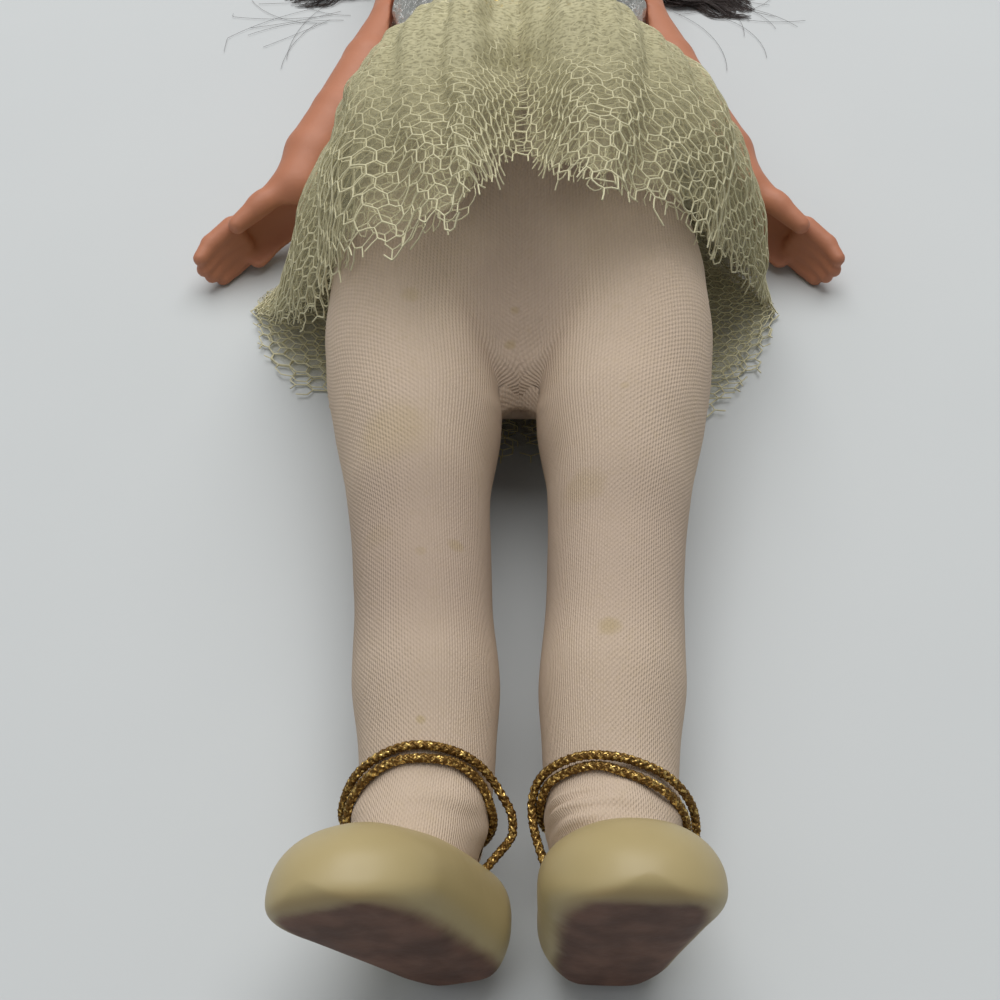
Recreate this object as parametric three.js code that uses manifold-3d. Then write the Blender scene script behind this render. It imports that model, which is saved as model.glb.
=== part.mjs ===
// A ballerina doll lying on its back: jointed vinyl body, sleep eyes, net tutu, tights and slippers.
// Millimetres. +Z up, head towards +Y, the doll's left hand on +X. The origin is on the surface that it
// lies on, under the middle of its length. Heights below are measured from the soles, rises from the surface.
import * as THREE from 'three';
import { mergeVertices } from 'three/addons/utils/BufferGeometryUtils.js';
import Module from 'manifold-3d';

const wasm = await Module();
wasm.setup();

// Fits
const GAP = 0.3; // between pieces that touch
const RUN = 1; // round a limb that turns

// Body
const SEAM_RISE = 24; // the plane of the body's seam, which every limb joint lies on
const BODY_WALL = 2;
const HIP_HEIGHT = 113;
const HIP_WIDTH = 60;
const BELLY_HEIGHT = 150;
const BELLY_WIDTH = 58;
const BELLY_RISE = 46;
const WAIST_HEIGHT = 174;
const WAIST_WIDTH = 45;
const WAIST_RISE = 43;
const CHEST_HEIGHT = 203;
const CHEST_WIDTH = 53;
const CHEST_RISE = 45;
const SHOULDER_HEIGHT = 216;
const SHOULDER_WIDTH = 56.4;
const SHOULDER_RISE = 41;
const BODY_HEIGHT = 229;
const SHOULDER_SLOPE = 1; // how much narrower the body is half way up to the collar
const COLLAR_WIDTH = 30;
const COLLAR_DEPTH = 21;
const SEAT_RISE = 4.4; // under the seat
const SMALL_OF_BACK_RISE = 8;
const BACK_RISE = 4.6; // under the shoulder blades
const GROIN_RISE = 43; // front of the body just above the legs
const SEAT_HOLLOW = 0.6; // how much the back lifts between the seat and the waist
const BODY_SQUARENESS = 2.4; // 2 is an ellipse
const PELVIS_WIDTH = 25;
const PELVIS_RADIUS = 17.3;
const PELVIS_OVERLAP = 3; // how far the pelvis runs into the barrel above it
const GROIN_ANGLE = 62; // degrees from straight ahead, where the notch for the thighs ends

// Legs
const HIP_RADIUS = 18;
const HIP_REACH = 33.6; // middle of the doll to the outside of the hip
const LEG_START = 2; // drops are measured down from the hip joint
const THIGH_DROP = 25;
const THIGH_WIDTH = 27;
const THIGH_DEPTH = 33;
const THIGH_OFFSET = 17.9; // offsets are measured out from the middle of the doll
const KNEE_DROP = 51;
const KNEE_WIDTH = 20.2;
const KNEE_DEPTH = 22;
const KNEE_OFFSET = 15.9;
const CALF_DROP = 70;
const CALF_WIDTH = 21;
const CALF_DEPTH = 22.4;
const CALF_OFFSET = 14.5;
const ANKLE_DROP = 87;
const ANKLE_WIDTH = 18;
const ANKLE_DEPTH = 18.4;
const ANKLE_OFFSET = 13.6;
const ANKLE_RISE = 14.5;
const INSTEP_SWELL = 2.5; // half the depth that the ankle gains at the slipper's rim
const INSTEP_FORWARD = 3.2;
const HIP_DOME = 9; // height of the round outside of the hip
const HIP_STUB_RADIUS = 5;
const HIP_DISC_RADIUS = 7.5;

// Feet and slippers
const TURNOUT = { left: 5, right: 28 }; // degrees
const SHOE_LENGTH = 44;
const SHOE_WIDTH = 24.5;
const HEEL_WIDTH = 21;
const HEEL_CUP_HEIGHT = 12.5;
const TOE_CAP_HEIGHT = 13.8;
const TOE_SPRING = 3; // how far the sole curls up at the tip of the toe
const SOLE_SHARE = 0.74; // the flat of the sole as a share of the slipper's width
const SHOE_WALL = 1.4;
const SOLE_THICKNESS = 1.8;

// Tights
const TIGHTS_THICKNESS = 0.7;
const TIGHTS_OPENING = 4; // how far the leg's inside runs on past the cheek of the hip

// Ankle cords
const CORD_DIAMETER = 1.45;
const CORD_PITCH = 2.3;
const CORD_TILT = 4; // how much lower the turns lie behind the ankle than at its side
const CORD_DROP = 90; // the first turn at the side of the ankle
const CORD_TURNS = 2;
const CORD_EASE = 0.25; // more than the plain gap, because the ankle has flats
const CORD_SLACK = { left: 2.4, right: 2.4 }; // how far the last stretch stands off the ankle

// Arms
const ARM_TOP = 9; // above the shoulder joint
const ARM_SHOULDER_DROP = 4; // where the arm is thickest, below the joint
const ARM_BEND = 0.45; // share of the wrist's drop towards the surface that the elbow has
const MUSCLE_SHIFT = 0.7; // how far the thick of each half of the arm lies off its line
const UPPER_ARM_RADIUS = 6.9;
const ARM_FLAT_CUT = 2; // what the flat takes off the round of the arm
const ELBOW_DROP = 33;
const ELBOW_OUT = 10.6; // outs are measured from the flat of the arm
const ELBOW_RADIUS = 6;
const FOREARM_RADIUS = 6.3;
const WRIST_DROP = 56;
const WRIST_OUT = 20.4;
const WRIST_RADIUS = 4.7;
const WRIST_RISE = 14.4;
const HAND_LENGTH = 13;
const HAND_WIDTH = 13;
const HAND_THICKNESS = 6.4;
const PALM_DROP = 3; // how far the palm hangs below the line of the wrist
const PALM_HOLLOW = { along: 6.4, across: 4.6, deep: 3 };
const FINGER_LENGTH = 11.5;
const FINGER_RADIUS = 1.75;
const THUMB_LENGTH = 9.5;
const THUMB_LEAN = 4.2;
const FINGER_LEAN = 0.7;
const FINGER_CURL = 0.95; // radians
const THUMB_CURL = 0.8;
const FINGER_SHARES = [0.82, 0.98, 1, 0.9]; // lengths, as shares of the longest
const ARM_STUB_RADIUS = 4;
const ARM_DISC_RADIUS = 5.8;
const ARM_STANDOFF = 1; // body side to the flat of the arm
const ARM_DISC_SETBACK = 2.2; // clears the round of the body's inside

// Head
const HEAD_HEIGHT = 66;
const HEAD_WIDTH = 58;
const HEAD_DEPTH = 57;
const HEAD_RISE = 31.5;
const CHIN_CLEARANCE = 2.3; // collar to the underside of the head
const HEAD_WALL = 2.2;
const JAW_TAPER = 0.1;
const NAPE_TAPER = 0.1;
const CHIN_TAPER = 0.07;
const CROWN_SWELL = 0.04;
const NOSE = { aside: 0, up: -6.5, wide: 3, high: 4.6, out: 3.4 };
const LIPS = { aside: 0, up: -15.5, wide: 5.5, high: 2.4, out: 1.2 };
const CHIN = { aside: 0, up: -25, wide: 6, high: 5, out: 1 };
const CHEEK = { aside: 13, up: -10, wide: 7, high: 8, out: 2.2 };
const BROW = { aside: 0, up: 12, wide: 18, high: 8, out: 0.9 };
const NECK_RADIUS = 8.5;
const NECK_STUB_RADIUS = 6.2;
const NECK_BORE_RADIUS = 4;
const NECK_DISC_RADIUS = 8.2;
const NECK_HEIGHT = 12;
const HAIRLINE_TILT = 35; // degrees
const HAIRLINE_UP = 8;
const HAIRLINE_FORWARD = 12;
const HAIR_THICKNESS = 2.4;

// Sleep eyes
const EYE_OFFSET = 10.2;
const EYE_LEVEL = 0.5; // above the middle of the head
const EYE_RADIUS = 5.2;
const EYE_INSET = 0.8; // face to the front of the eyeball
const EYE_RUN = 0.5; // round the eyeball in the face
const EYE_WIDTH = 10; // of the almond opening
const EYE_HEIGHT = 8.3;
const EYE_SQUARENESS = 2.2;
const EYE_CUP_WALL = 1;
const LASH_LENGTH = 1.6;
const LASH_FAN = 25; // degrees to each side
const LASH_THICKNESS = 0.4;
const LASH_ANGLE = 26; // degrees below straight ahead when shut
const LEVER_WIDTH = 2;
const LEVER_LENGTH = 9; // from the middle of the eyeball
const WEIGHT_RADIUS = 2.6;
const WEIGHT_LENGTH = 4.5;

// Clothes
const CLOTH = 0.8; // lame, tape and each layer of net
const BODICE_TOP = 204;
const TUCK = 4; // tights under the bodice
const STRAP_WIDTH = 4.6;
const STRAP_OFFSET = 12.6;
const STUD_RADIUS = 2.4;
const STUD_THICKNESS = 1;
const STUD_SPACING = 14;
const TAPE_WIDTH = 6;
const BRAID_WIDTH = 5;
const BRAID_THICKNESS = 1.8;

// Tutu, as it lies
const NET_SPACING = 2.2; // between the two layers
const FOLD_COUNT = 10;
const FOLD_DEPTH = 1.8;
const GATHER_SQUARENESS = 2.4;
const UNDER_LENGTH = 0.9; // the under layer as a share of the outer one
// Places on the hem and half way down to it, on each side. Each has an angle round the waist, where 90
// degrees is the front and -90 the back, its distance from the middle of the doll, its drop below the
// waist and its rise.
const HEM = {
  left: [
    [-90, 0, 77, 0], [-66, 27, 71, 0], [-48, 46, 56, 0], [-24, 54.6, 38, 1.2], [-12, 53, 37, 6],
    [0, 47, 43, 15], [27, 34, 61, 41], [52, 19, 69.5, 58], [68, 11, 73, 63], [90, 0.6, 54.4, 56],
  ],
  right: [
    [-90, 0, 77, 0], [-62, 36, 63, 0], [-48, 49.6, 53, 0], [-24, 56.6, 38, 1.2], [-10, 54.6, 41, 7],
    [6, 43, 55, 17], [22, 37.5, 64, 31], [36, 30, 71.5, 45], [66, 11.5, 78.6, 61.5], [90, 0.6, 54.4, 56],
  ],
};
const HALF_WAY = {
  left: [
    [-90, 0, 40, 0], [-40, 38, 26, 0], [-24, 44, 22, 2.5], [0, 45, 31, 31], [30, 34.5, 32, 52],
    [60, 18, 34, 61.5], [90, 0.3, 27, 55],
  ],
  right: [
    [-90, 0, 40, 0], [-40, 40, 25, 0], [-24, 45, 22, 2.5], [0, 40.5, 37, 29], [30, 32.5, 37, 50],
    [60, 17, 37, 61], [90, 0.3, 27, 55],
  ],
};

// Loose hair
const LOCK_START = 17.5; // under the side of the head
const LOCK_REACH = 62;
const LOCK_LIFT = 0.2; // off the surface
const LOCK_WIDTH = 24;
const LOCK_THICKNESS = 9;
const LOCK_TIP_DROP = 24.3; // below the middle of the head
const LOCK_TIP_SHARE = 0.35; // thickness at the tip

// Facets
const BODY_SIDES = 20;
const LIMB_SIDES = 12;
const FINGER_SIDES = 6;
const CORD_SIDES = 6;
const STEPS_PER_TURN = 24;
const NET_COLUMNS = 40;
const NET_ROWS = 6;
const DOME_SIDES = 16;
const RELIEF_SIDES = 28;
const PELVIS_SEGMENTS = 10;
const STUD_SIDES = 12;
const PALM_SIDES = 8;
const HOLLOW_ROWS = 4;
const LOCK_SIDES = 12;
const LASH_SEGMENTS = 5;
const HEAD_COLUMNS = 22;
const HEAD_ROWS = 13;
const CAVITY_COLUMNS = 14;
const CAVITY_ROWS = 8;
const EYE_COLUMNS = 12;
const EYE_ROWS = 7;

const point = (x, y, z) => new THREE.Vector3(x, y, z);
const radians = THREE.MathUtils.degToRad;
const mix = THREE.MathUtils.lerp;
const ease = THREE.MathUtils.smoothstep;

// A smooth curve through [place, value] pairs, with no overshoot between them.
function curveThrough(stops) {
  const slopes = stops.slice(1).map(([at, value], i) => (value - stops[i][1]) / (at - stops[i][0]));
  const tangents = stops.map((stop, i) => {
    const before = slopes[Math.max(i - 1, 0)];
    const after = slopes[Math.min(i, slopes.length - 1)];
    return before * after <= 0 ? 0 : (2 * before * after) / (before + after);
  });
  return (at) => {
    const last = stops.length - 1;
    if (at <= stops[0][0]) return stops[0][1];
    if (at >= stops[last][0]) return stops[last][1];
    const i = stops.findIndex(([place]) => place > at) - 1;
    const span = stops[i + 1][0] - stops[i][0];
    const t = (at - stops[i][0]) / span;
    const fromStart = (1 + 2 * t) * (1 - t) ** 2 * stops[i][1] + span * t * (1 - t) ** 2 * tangents[i];
    const fromEnd = t ** 2 * (3 - 2 * t) * stops[i + 1][1] - span * t ** 2 * (1 - t) * tangents[i + 1];
    return fromStart + fromEnd;
  };
}

// The same curve with straight runs between stations, so that layers made at those stations stay parallel.
function faceted(curve, stations) {
  return (at) => {
    const found = stations.findIndex((place) => place >= at);
    const i = found < 0 ? stations.length - 1 : Math.max(found, 1);
    const share = (at - stations[i - 1]) / (stations[i] - stations[i - 1]);
    return mix(curve(stations[i - 1]), curve(stations[i]), Math.min(1, share));
  };
}

// The stations between two places, and the two places themselves.
function between(stations, from, to) {
  return [from, ...stations.filter((place) => place > from + 0.01 && place < to - 0.01), to];
}

const spread = (from, to, steps) => Array.from({ length: steps + 1 }, (_, i) => mix(from, to, i / steps));

// Turns the faces outwards if they point in.
function facingOut(positions, indices) {
  let volume = 0;
  const corner = (i) => point(...positions.slice(3 * i, 3 * i + 3));
  for (let i = 0; i < indices.length; i += 3) {
    const [a, b, c] = [corner(indices[i]), corner(indices[i + 1]), corner(indices[i + 2])];
    volume += a.dot(b.cross(c));
  }
  if (volume < 0) indices.reverse();
  const geometry = new THREE.BufferGeometry();
  geometry.setAttribute('position', new THREE.Float32BufferAttribute(positions, 3));
  geometry.setIndex(indices);
  return geometry;
}

function band(indices, start, next, sides) {
  for (let j = 0; j < sides; j += 1) {
    const k = (j + 1) % sides;
    indices.push(start + j, start + k, next + k, start + j, next + k, next + j);
  }
}

// A closed solid through rings of points, capped at both ends.
function loft(rings) {
  const sides = rings[0].length;
  const positions = rings.flat().flatMap((p) => p.toArray());
  const indices = [];
  for (let i = 0; i + 1 < rings.length; i += 1) band(indices, i * sides, (i + 1) * sides, sides);
  const cap = (ring, start, flip) => {
    const middle = ring.reduce((sum, p) => sum.add(p), point(0, 0, 0)).divideScalar(sides);
    const centre = positions.length / 3;
    positions.push(...middle.toArray());
    for (let j = 0; j < sides; j += 1) {
      const k = (j + 1) % sides;
      indices.push(centre, start + (flip ? k : j), start + (flip ? j : k));
    }
  };
  cap(rings[0], 0, true);
  cap(rings[rings.length - 1], (rings.length - 1) * sides, false);
  return facingOut(positions, indices);
}

// A thin open tube: an outer and an inner row of rings, joined round both rims.
function sleeve(outer, inner) {
  const sides = outer[0].length;
  const rings = [...outer, ...[...inner].reverse()];
  const positions = rings.flat().flatMap((p) => p.toArray());
  const indices = [];
  for (let i = 0; i < rings.length; i += 1) band(indices, i * sides, ((i + 1) % rings.length) * sides, sides);
  return facingOut(positions, indices);
}

// An oval ring round a centre, in the plane of two directions.
function oval(centre, across, up, halfWidth, halfDepth, sides, squareness = 2) {
  const power = (value) => Math.sign(value) * Math.abs(value) ** (2 / squareness);
  return Array.from({ length: sides }, (_, i) => {
    const angle = (2 * Math.PI * i) / sides;
    return centre.clone()
      .addScaledVector(across, halfWidth * power(Math.cos(angle)))
      .addScaledVector(up, halfDepth * power(Math.sin(angle)));
  });
}

function toSolid(geometry) {
  const bare = geometry.clone();
  bare.deleteAttribute('normal');
  bare.deleteAttribute('uv');
  const merged = mergeVertices(bare);
  return new wasm.Manifold(new wasm.Mesh({
    numProp: 3,
    vertProperties: new Float32Array(merged.attributes.position.array),
    triVerts: new Uint32Array(merged.index.array),
  }));
}

function toGeometry(solid) {
  const { vertProperties, triVerts } = solid.getMesh();
  const geometry = new THREE.BufferGeometry();
  geometry.setAttribute('position', new THREE.BufferAttribute(new Float32Array(vertProperties), 3));
  geometry.setIndex(new THREE.BufferAttribute(new Uint32Array(triVerts), 1));
  return geometry;
}

function block(from, to) {
  const size = to.clone().sub(from);
  const middle = from.clone().add(to).multiplyScalar(0.5);
  return toSolid(new THREE.BoxGeometry(size.x, size.y, size.z).translate(middle.x, middle.y, middle.z));
}

// A round bar between two places on an axis, one of x, y and z.
function bar(axis, radius, from, to, centre, sides = LIMB_SIDES) {
  const geometry = new THREE.CylinderGeometry(radius, radius, Math.abs(to - from), sides);
  if (axis === 'x') geometry.rotateZ(Math.PI / 2);
  if (axis === 'z') geometry.rotateX(Math.PI / 2);
  const middle = centre.clone();
  middle[axis] = (from + to) / 2;
  return toSolid(geometry.translate(middle.x, middle.y, middle.z));
}

const FAR = 400; // past the doll in every direction
const ORIGIN = point(0, 0, 0);
const X_AXIS = point(1, 0, 0);
const Y_AXIS = point(0, 1, 0);
const Z_AXIS = point(0, 0, 1);

// Materials
function finish(color, roughness, metalness = 0) {
  return new THREE.MeshStandardMaterial({ color, roughness, metalness });
}
const skin = finish(0xc98a6c, 0.55);
const bodyPlastic = finish(0xd9a184, 0.5);
const knit = finish(0xd8c8ae, 0.95);
const net = finish(0xb9ae8c, 0.95);
const lame = finish(0xc9c8c4, 0.3, 0.8);
const goldBraid = finish(0xb08a3c, 0.4, 0.8);
const goldCord = finish(0xa8863f, 0.4, 0.8);
const slipperVinyl = finish(0xb8a884, 0.4);
const hair = finish(0x2a1d18, 0.6);
const eyeWhite = finish(0xf0efe9, 0.15);
const eyeCup = finish(0xe7e3da, 0.5);
const lead = finish(0x6d6f73, 0.6, 0.7);
const bristle = finish(0x1b1413, 0.7);
const steel = finish(0xb9bbbd, 0.35, 0.9);
const tape = finish(0xcfc4a4, 0.95);

const headHeight = BODY_HEIGHT + CHIN_CLEARANCE + HEAD_HEIGHT / 2;
const dollHeight = headHeight + HEAD_HEIGHT / 2 + GAP + HAIR_THICKNESS;
const doll = new THREE.Group();
doll.position.y = -dollHeight / 2;

function add(group, name, shape, material) {
  const geometry = shape.isBufferGeometry ? shape : toGeometry(shape);
  const mesh = new THREE.Mesh(geometry, material);
  mesh.name = name;
  group.add(mesh);
}

// Body: an oval barrel from the hips to the collar, and a pelvis between the legs.
const shelfHeight = HIP_HEIGHT + HIP_RADIUS + GAP + TIGHTS_THICKNESS + RUN;
const bodyStations = [
  ...spread(shelfHeight, BELLY_HEIGHT, 2).slice(0, -1),
  ...spread(BELLY_HEIGHT, WAIST_HEIGHT, 2).slice(0, -1),
  ...spread(WAIST_HEIGHT, CHEST_HEIGHT, 3).slice(0, -1),
  ...spread(CHEST_HEIGHT, SHOULDER_HEIGHT, 1).slice(0, -1),
  ...spread(SHOULDER_HEIGHT, BODY_HEIGHT, 3),
];
const bodyHalfWidth = faceted(curveThrough([
  [shelfHeight, HIP_WIDTH / 2],
  [BELLY_HEIGHT, BELLY_WIDTH / 2],
  [WAIST_HEIGHT, WAIST_WIDTH / 2],
  [CHEST_HEIGHT, CHEST_WIDTH / 2],
  [SHOULDER_HEIGHT, SHOULDER_WIDTH / 2],
  [mix(SHOULDER_HEIGHT, BODY_HEIGHT, 0.5), SHOULDER_WIDTH / 2 - SHOULDER_SLOPE],
  [BODY_HEIGHT, COLLAR_WIDTH / 2],
]), bodyStations);
const bodyFront = faceted(curveThrough([
  [shelfHeight, GROIN_RISE],
  [BELLY_HEIGHT, BELLY_RISE],
  [WAIST_HEIGHT, WAIST_RISE],
  [CHEST_HEIGHT, CHEST_RISE],
  [SHOULDER_HEIGHT, SHOULDER_RISE],
  [BODY_HEIGHT, SEAM_RISE + COLLAR_DEPTH / 2],
]), bodyStations);
const bodyBack = faceted(curveThrough([
  [shelfHeight, SEAT_RISE],
  [BELLY_HEIGHT, SEAT_RISE + SEAT_HOLLOW],
  [WAIST_HEIGHT, SMALL_OF_BACK_RISE],
  [CHEST_HEIGHT, BACK_RISE],
  [SHOULDER_HEIGHT, BACK_RISE + SEAT_HOLLOW],
  [BODY_HEIGHT, SEAM_RISE - COLLAR_DEPTH / 2],
]), bodyStations);

function bodyRing(height, offset) {
  const front = bodyFront(height) + offset;
  const back = bodyBack(height) - offset;
  const centre = point(0, height, (front + back) / 2);
  const halfWidth = bodyHalfWidth(height) + offset;
  return oval(centre, X_AXIS, Z_AXIS, halfWidth, (front - back) / 2, BODY_SIDES, BODY_SQUARENESS);
}

function barrel(offset, from, to) {
  return toSolid(loft(between(bodyStations, from, to).map((height) => bodyRing(height, offset))));
}

// The pelvis seen from the side is a drum on the hip axis, and its two cheeks are flat. Above its front a
// notch takes the thighs when they swing up, which the tights span.
function pelvis(offset, halfWidth, spanned) {
  const radius = PELVIS_RADIUS + offset;
  const top = shelfHeight + PELVIS_OVERLAP;
  const opened = radians(90 - GROIN_ANGLE);
  const outline = new THREE.Shape();
  outline.moveTo(top, bodyBack(top) - offset);
  if (spanned) {
    outline.lineTo(top, bodyFront(top) + offset);
    outline.lineTo(shelfHeight, bodyFront(shelfHeight) + offset);
    outline.absarc(HIP_HEIGHT, SEAM_RISE, radius, Math.PI / 2, 1.5 * Math.PI, false);
  } else {
    outline.lineTo(top, SEAM_RISE + radius * Math.sin(opened));
    outline.absarc(HIP_HEIGHT, SEAM_RISE, radius, opened, 1.5 * Math.PI, false);
  }
  outline.lineTo(shelfHeight, bodyBack(shelfHeight) - offset);
  const slab = new THREE.ExtrudeGeometry(outline, {
    depth: 2 * halfWidth,
    bevelEnabled: false,
    curveSegments: PELVIS_SEGMENTS,
  });
  const turn = new THREE.Matrix4().makeBasis(point(0, 1, 0), Z_AXIS, X_AXIS);
  return toSolid(slab.applyMatrix4(turn).translate(-halfWidth, 0, 0));
}

const armPivot = point(0, SHOULDER_HEIGHT, SEAM_RISE);
const hipPivot = point(0, HIP_HEIGHT, SEAM_RISE);
const neckPivot = point(0, BODY_HEIGHT, SEAM_RISE);

function bodyShell() {
  const outside = barrel(0, shelfHeight, BODY_HEIGHT).add(pelvis(0, PELVIS_WIDTH / 2, false));
  const inside = barrel(-BODY_WALL, shelfHeight + BODY_WALL, BODY_HEIGHT - BODY_WALL)
    .add(pelvis(-BODY_WALL, PELVIS_WIDTH / 2 - BODY_WALL, false));
  return outside
    .subtract(inside)
    .subtract(bar('x', ARM_STUB_RADIUS + GAP, -FAR, FAR, armPivot))
    .subtract(bar('x', HIP_STUB_RADIUS + GAP, -PELVIS_WIDTH, PELVIS_WIDTH, hipPivot))
    .subtract(bar('y', NECK_STUB_RADIUS + GAP, BODY_HEIGHT - 2 * BODY_WALL, FAR, neckPivot));
}

const body = bodyShell();
const halfGap = GAP / 2;
const frontHalf = block(point(-FAR, -FAR, SEAM_RISE + halfGap), point(FAR, FAR, FAR));
const backHalf = block(point(-FAR, -FAR, -FAR), point(FAR, FAR, SEAM_RISE - halfGap));
add(doll, 'torso_front', body.intersect(frontHalf), bodyPlastic);
add(doll, 'torso_back', body.intersect(backHalf), bodyPlastic);

// Clothes on the body, each layer standing off the one under it.
const pantyIn = GAP;
const pantyOut = pantyIn + TIGHTS_THICKNESS;
const bodiceIn = pantyOut + GAP;
const bodiceOut = bodiceIn + CLOTH;
const bodiceHem = WAIST_HEIGHT + TAPE_WIDTH / 2 + GAP;
const pantyTop = bodiceHem + TUCK;

function panty() {
  const outside = barrel(pantyOut, shelfHeight, pantyTop).add(pelvis(pantyOut, PELVIS_WIDTH / 2, true));
  const inside = barrel(pantyIn, shelfHeight - RUN, pantyTop + RUN).add(pelvis(pantyIn, PELVIS_WIDTH, true));
  return outside.subtract(inside);
}
add(doll, 'tights_panty', panty(), knit);

function fittedBand(offset, thickness, from, to) {
  const heights = between(bodyStations, from, to);
  const rings = (out) => heights.map((height) => bodyRing(height, out));
  return sleeve(rings(offset + thickness), rings(offset));
}

const backSlit = block(point(-halfGap, 0, -FAR), point(halfGap, FAR, SEAM_RISE));
add(doll, 'bodice', toSolid(fittedBand(bodiceIn, CLOTH, bodiceHem, BODICE_TOP)).subtract(backSlit), lame);

function strap(side) {
  const centre = side * STRAP_OFFSET;
  const slab = block(
    point(centre - STRAP_WIDTH / 2, BODICE_TOP + GAP, -FAR),
    point(centre + STRAP_WIDTH / 2, FAR, FAR),
  );
  const outside = barrel(bodiceOut, BODICE_TOP, BODY_HEIGHT + bodiceOut);
  const inside = barrel(bodiceIn, BODICE_TOP - RUN, BODY_HEIGHT + bodiceIn);
  return outside.subtract(inside).intersect(slab);
}
add(doll, 'strap_left', strap(1), lame);
add(doll, 'strap_right', strap(-1), lame);

const bodiceMiddle = mix(bodiceHem, BODICE_TOP, 0.5);
[['stud_upper', 1], ['stud_lower', -1]].forEach(([name, way]) => {
  const height = bodiceMiddle + (way * STUD_SPACING) / 2;
  const lowest = Math.min(...[-1, 0, 1].map((k) => bodyBack(height + k * STUD_RADIUS))) - bodiceOut - GAP;
  const stud = bar('z', STUD_RADIUS, lowest - STUD_THICKNESS, lowest, point(0, height, 0), STUD_SIDES);
  add(doll, name, stud, steel);
});

const tapeBottom = WAIST_HEIGHT - TAPE_WIDTH / 2;
add(doll, 'skirt_tape', fittedBand(bodiceIn, CLOTH, tapeBottom, WAIST_HEIGHT + TAPE_WIDTH / 2), tape);
const braidIn = bodiceOut + GAP;
const braidBottom = WAIST_HEIGHT + TAPE_WIDTH / 2 + GAP / 2 - BRAID_WIDTH / 2;
const braid = fittedBand(braidIn, BRAID_THICKNESS, braidBottom, braidBottom + BRAID_WIDTH);
add(doll, 'waist_braid', braid, goldBraid);

// Tutu: gathered on the tape, raised over the thighs in front and flat on the surface behind.
const netTop = braidBottom - GAP - CLOTH / 2;
const frontShare = (angle) => ease(Math.sin(angle), -0.25, 0.3);

function placeByAngle(stops) {
  const [out, drop, rise] = [1, 2, 3].map((i) => curveThrough(stops.map((stop) => [stop[0], stop[i]])));
  return (degrees) => point(out(degrees), WAIST_HEIGHT - drop(degrees), rise(degrees));
}

const hemPlaces = { left: placeByAngle(HEM.left), right: placeByAngle(HEM.right) };
const halfWayPlaces = { left: placeByAngle(HALF_WAY.left), right: placeByAngle(HALF_WAY.right) };

// A place on the left or right curve, for an angle round the waist.
function onSide(places, angle) {
  const degrees = THREE.MathUtils.radToDeg(Math.asin(Math.sin(angle)));
  if (Math.cos(angle) >= 0) return places.left(degrees);
  return places.right(degrees).multiply(point(-1, 1, 1));
}

// The gathered top of the net, clear of the tape all the way down it.
function netStart(angle) {
  const offset = braidIn + NET_SPACING + CLOTH / 2;
  const levels = [netTop, tapeBottom];
  const front = Math.max(...levels.map(bodyFront)) + offset;
  const back = Math.min(...levels.map(bodyBack)) - offset;
  const halfWidth = Math.max(...levels.map(bodyHalfWidth)) + offset;
  const power = (value) => Math.sign(value) * Math.abs(value) ** (2 / GATHER_SQUARENESS);
  const rise = (front + back) / 2 + ((front - back) / 2) * power(Math.sin(angle));
  return point(halfWidth * power(Math.cos(angle)), netTop, rise);
}

// The net runs in a curve from the waist over the half-way place to the hem.
function netPoint(angle, t) {
  const start = netStart(angle);
  const hem = onSide(hemPlaces, angle);
  const pull = onSide(halfWayPlaces, angle).multiplyScalar(2)
    .addScaledVector(start, -0.5)
    .addScaledVector(hem, -0.5);
  const fold = FOLD_DEPTH * frontShare(angle) * t * Math.cos(FOLD_COUNT * angle);
  const place = start.multiplyScalar((1 - t) ** 2)
    .addScaledVector(pull, 2 * t * (1 - t))
    .addScaledVector(hem, t ** 2)
    .add(point(fold * Math.cos(angle), 0, fold * Math.max(0, Math.sin(angle))));
  place.z = Math.max(CLOTH / 2, place.z);
  return place;
}

// Rings of the layer's two faces, half the cloth's thickness either side of its middle.
function netLayer(inset, length) {
  const angles = Array.from({ length: NET_COLUMNS }, (_, i) => (2 * Math.PI * (i + 0.5)) / NET_COLUMNS);
  const step = 0.01;
  const face = (way) => spread(0, length, NET_ROWS).map((t) => angles.map((angle) => {
    const round = netPoint(angle + step, t).sub(netPoint(angle - step, t));
    const along = netPoint(angle, t + step).sub(netPoint(angle, Math.max(0, t - step)));
    const outwards = round.cross(along).normalize();
    const place = netPoint(angle, t).addScaledVector(outwards, (way * CLOTH) / 2 - inset);
    place.z = Math.max(place.z, inset + (way > 0 ? 0 : CLOTH));
    return place;
  }));
  return sleeve(face(1), face(-1));
}
add(doll, 'skirt_outer', netLayer(0, 1), net);
add(doll, 'skirt_under', netLayer(NET_SPACING, UNDER_LENGTH), net);

// Legs, in a frame at the hip joint.
const ankleRiseFromHip = ANKLE_RISE - SEAM_RISE;
const hipFace = PELVIS_WIDTH / 2 + GAP;
const instepDrop = HIP_HEIGHT - HEEL_CUP_HEIGHT;
const tightsOut = GAP + TIGHTS_THICKNESS;
const legStations = [
  ...spread(LEG_START, THIGH_DROP, 2).slice(0, -1),
  ...spread(THIGH_DROP, KNEE_DROP, 2).slice(0, -1),
  KNEE_DROP,
  ...spread(CALF_DROP, ANKLE_DROP, 2).slice(0, -1),
  ...spread(ANKLE_DROP, instepDrop, 2),
];
const legOffset = faceted(curveThrough([
  [0, mix(hipFace, HIP_REACH, 0.5)],
  [THIGH_DROP, THIGH_OFFSET],
  [KNEE_DROP, KNEE_OFFSET],
  [CALF_DROP, CALF_OFFSET],
  [ANKLE_DROP, ANKLE_OFFSET],
]), legStations);
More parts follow.
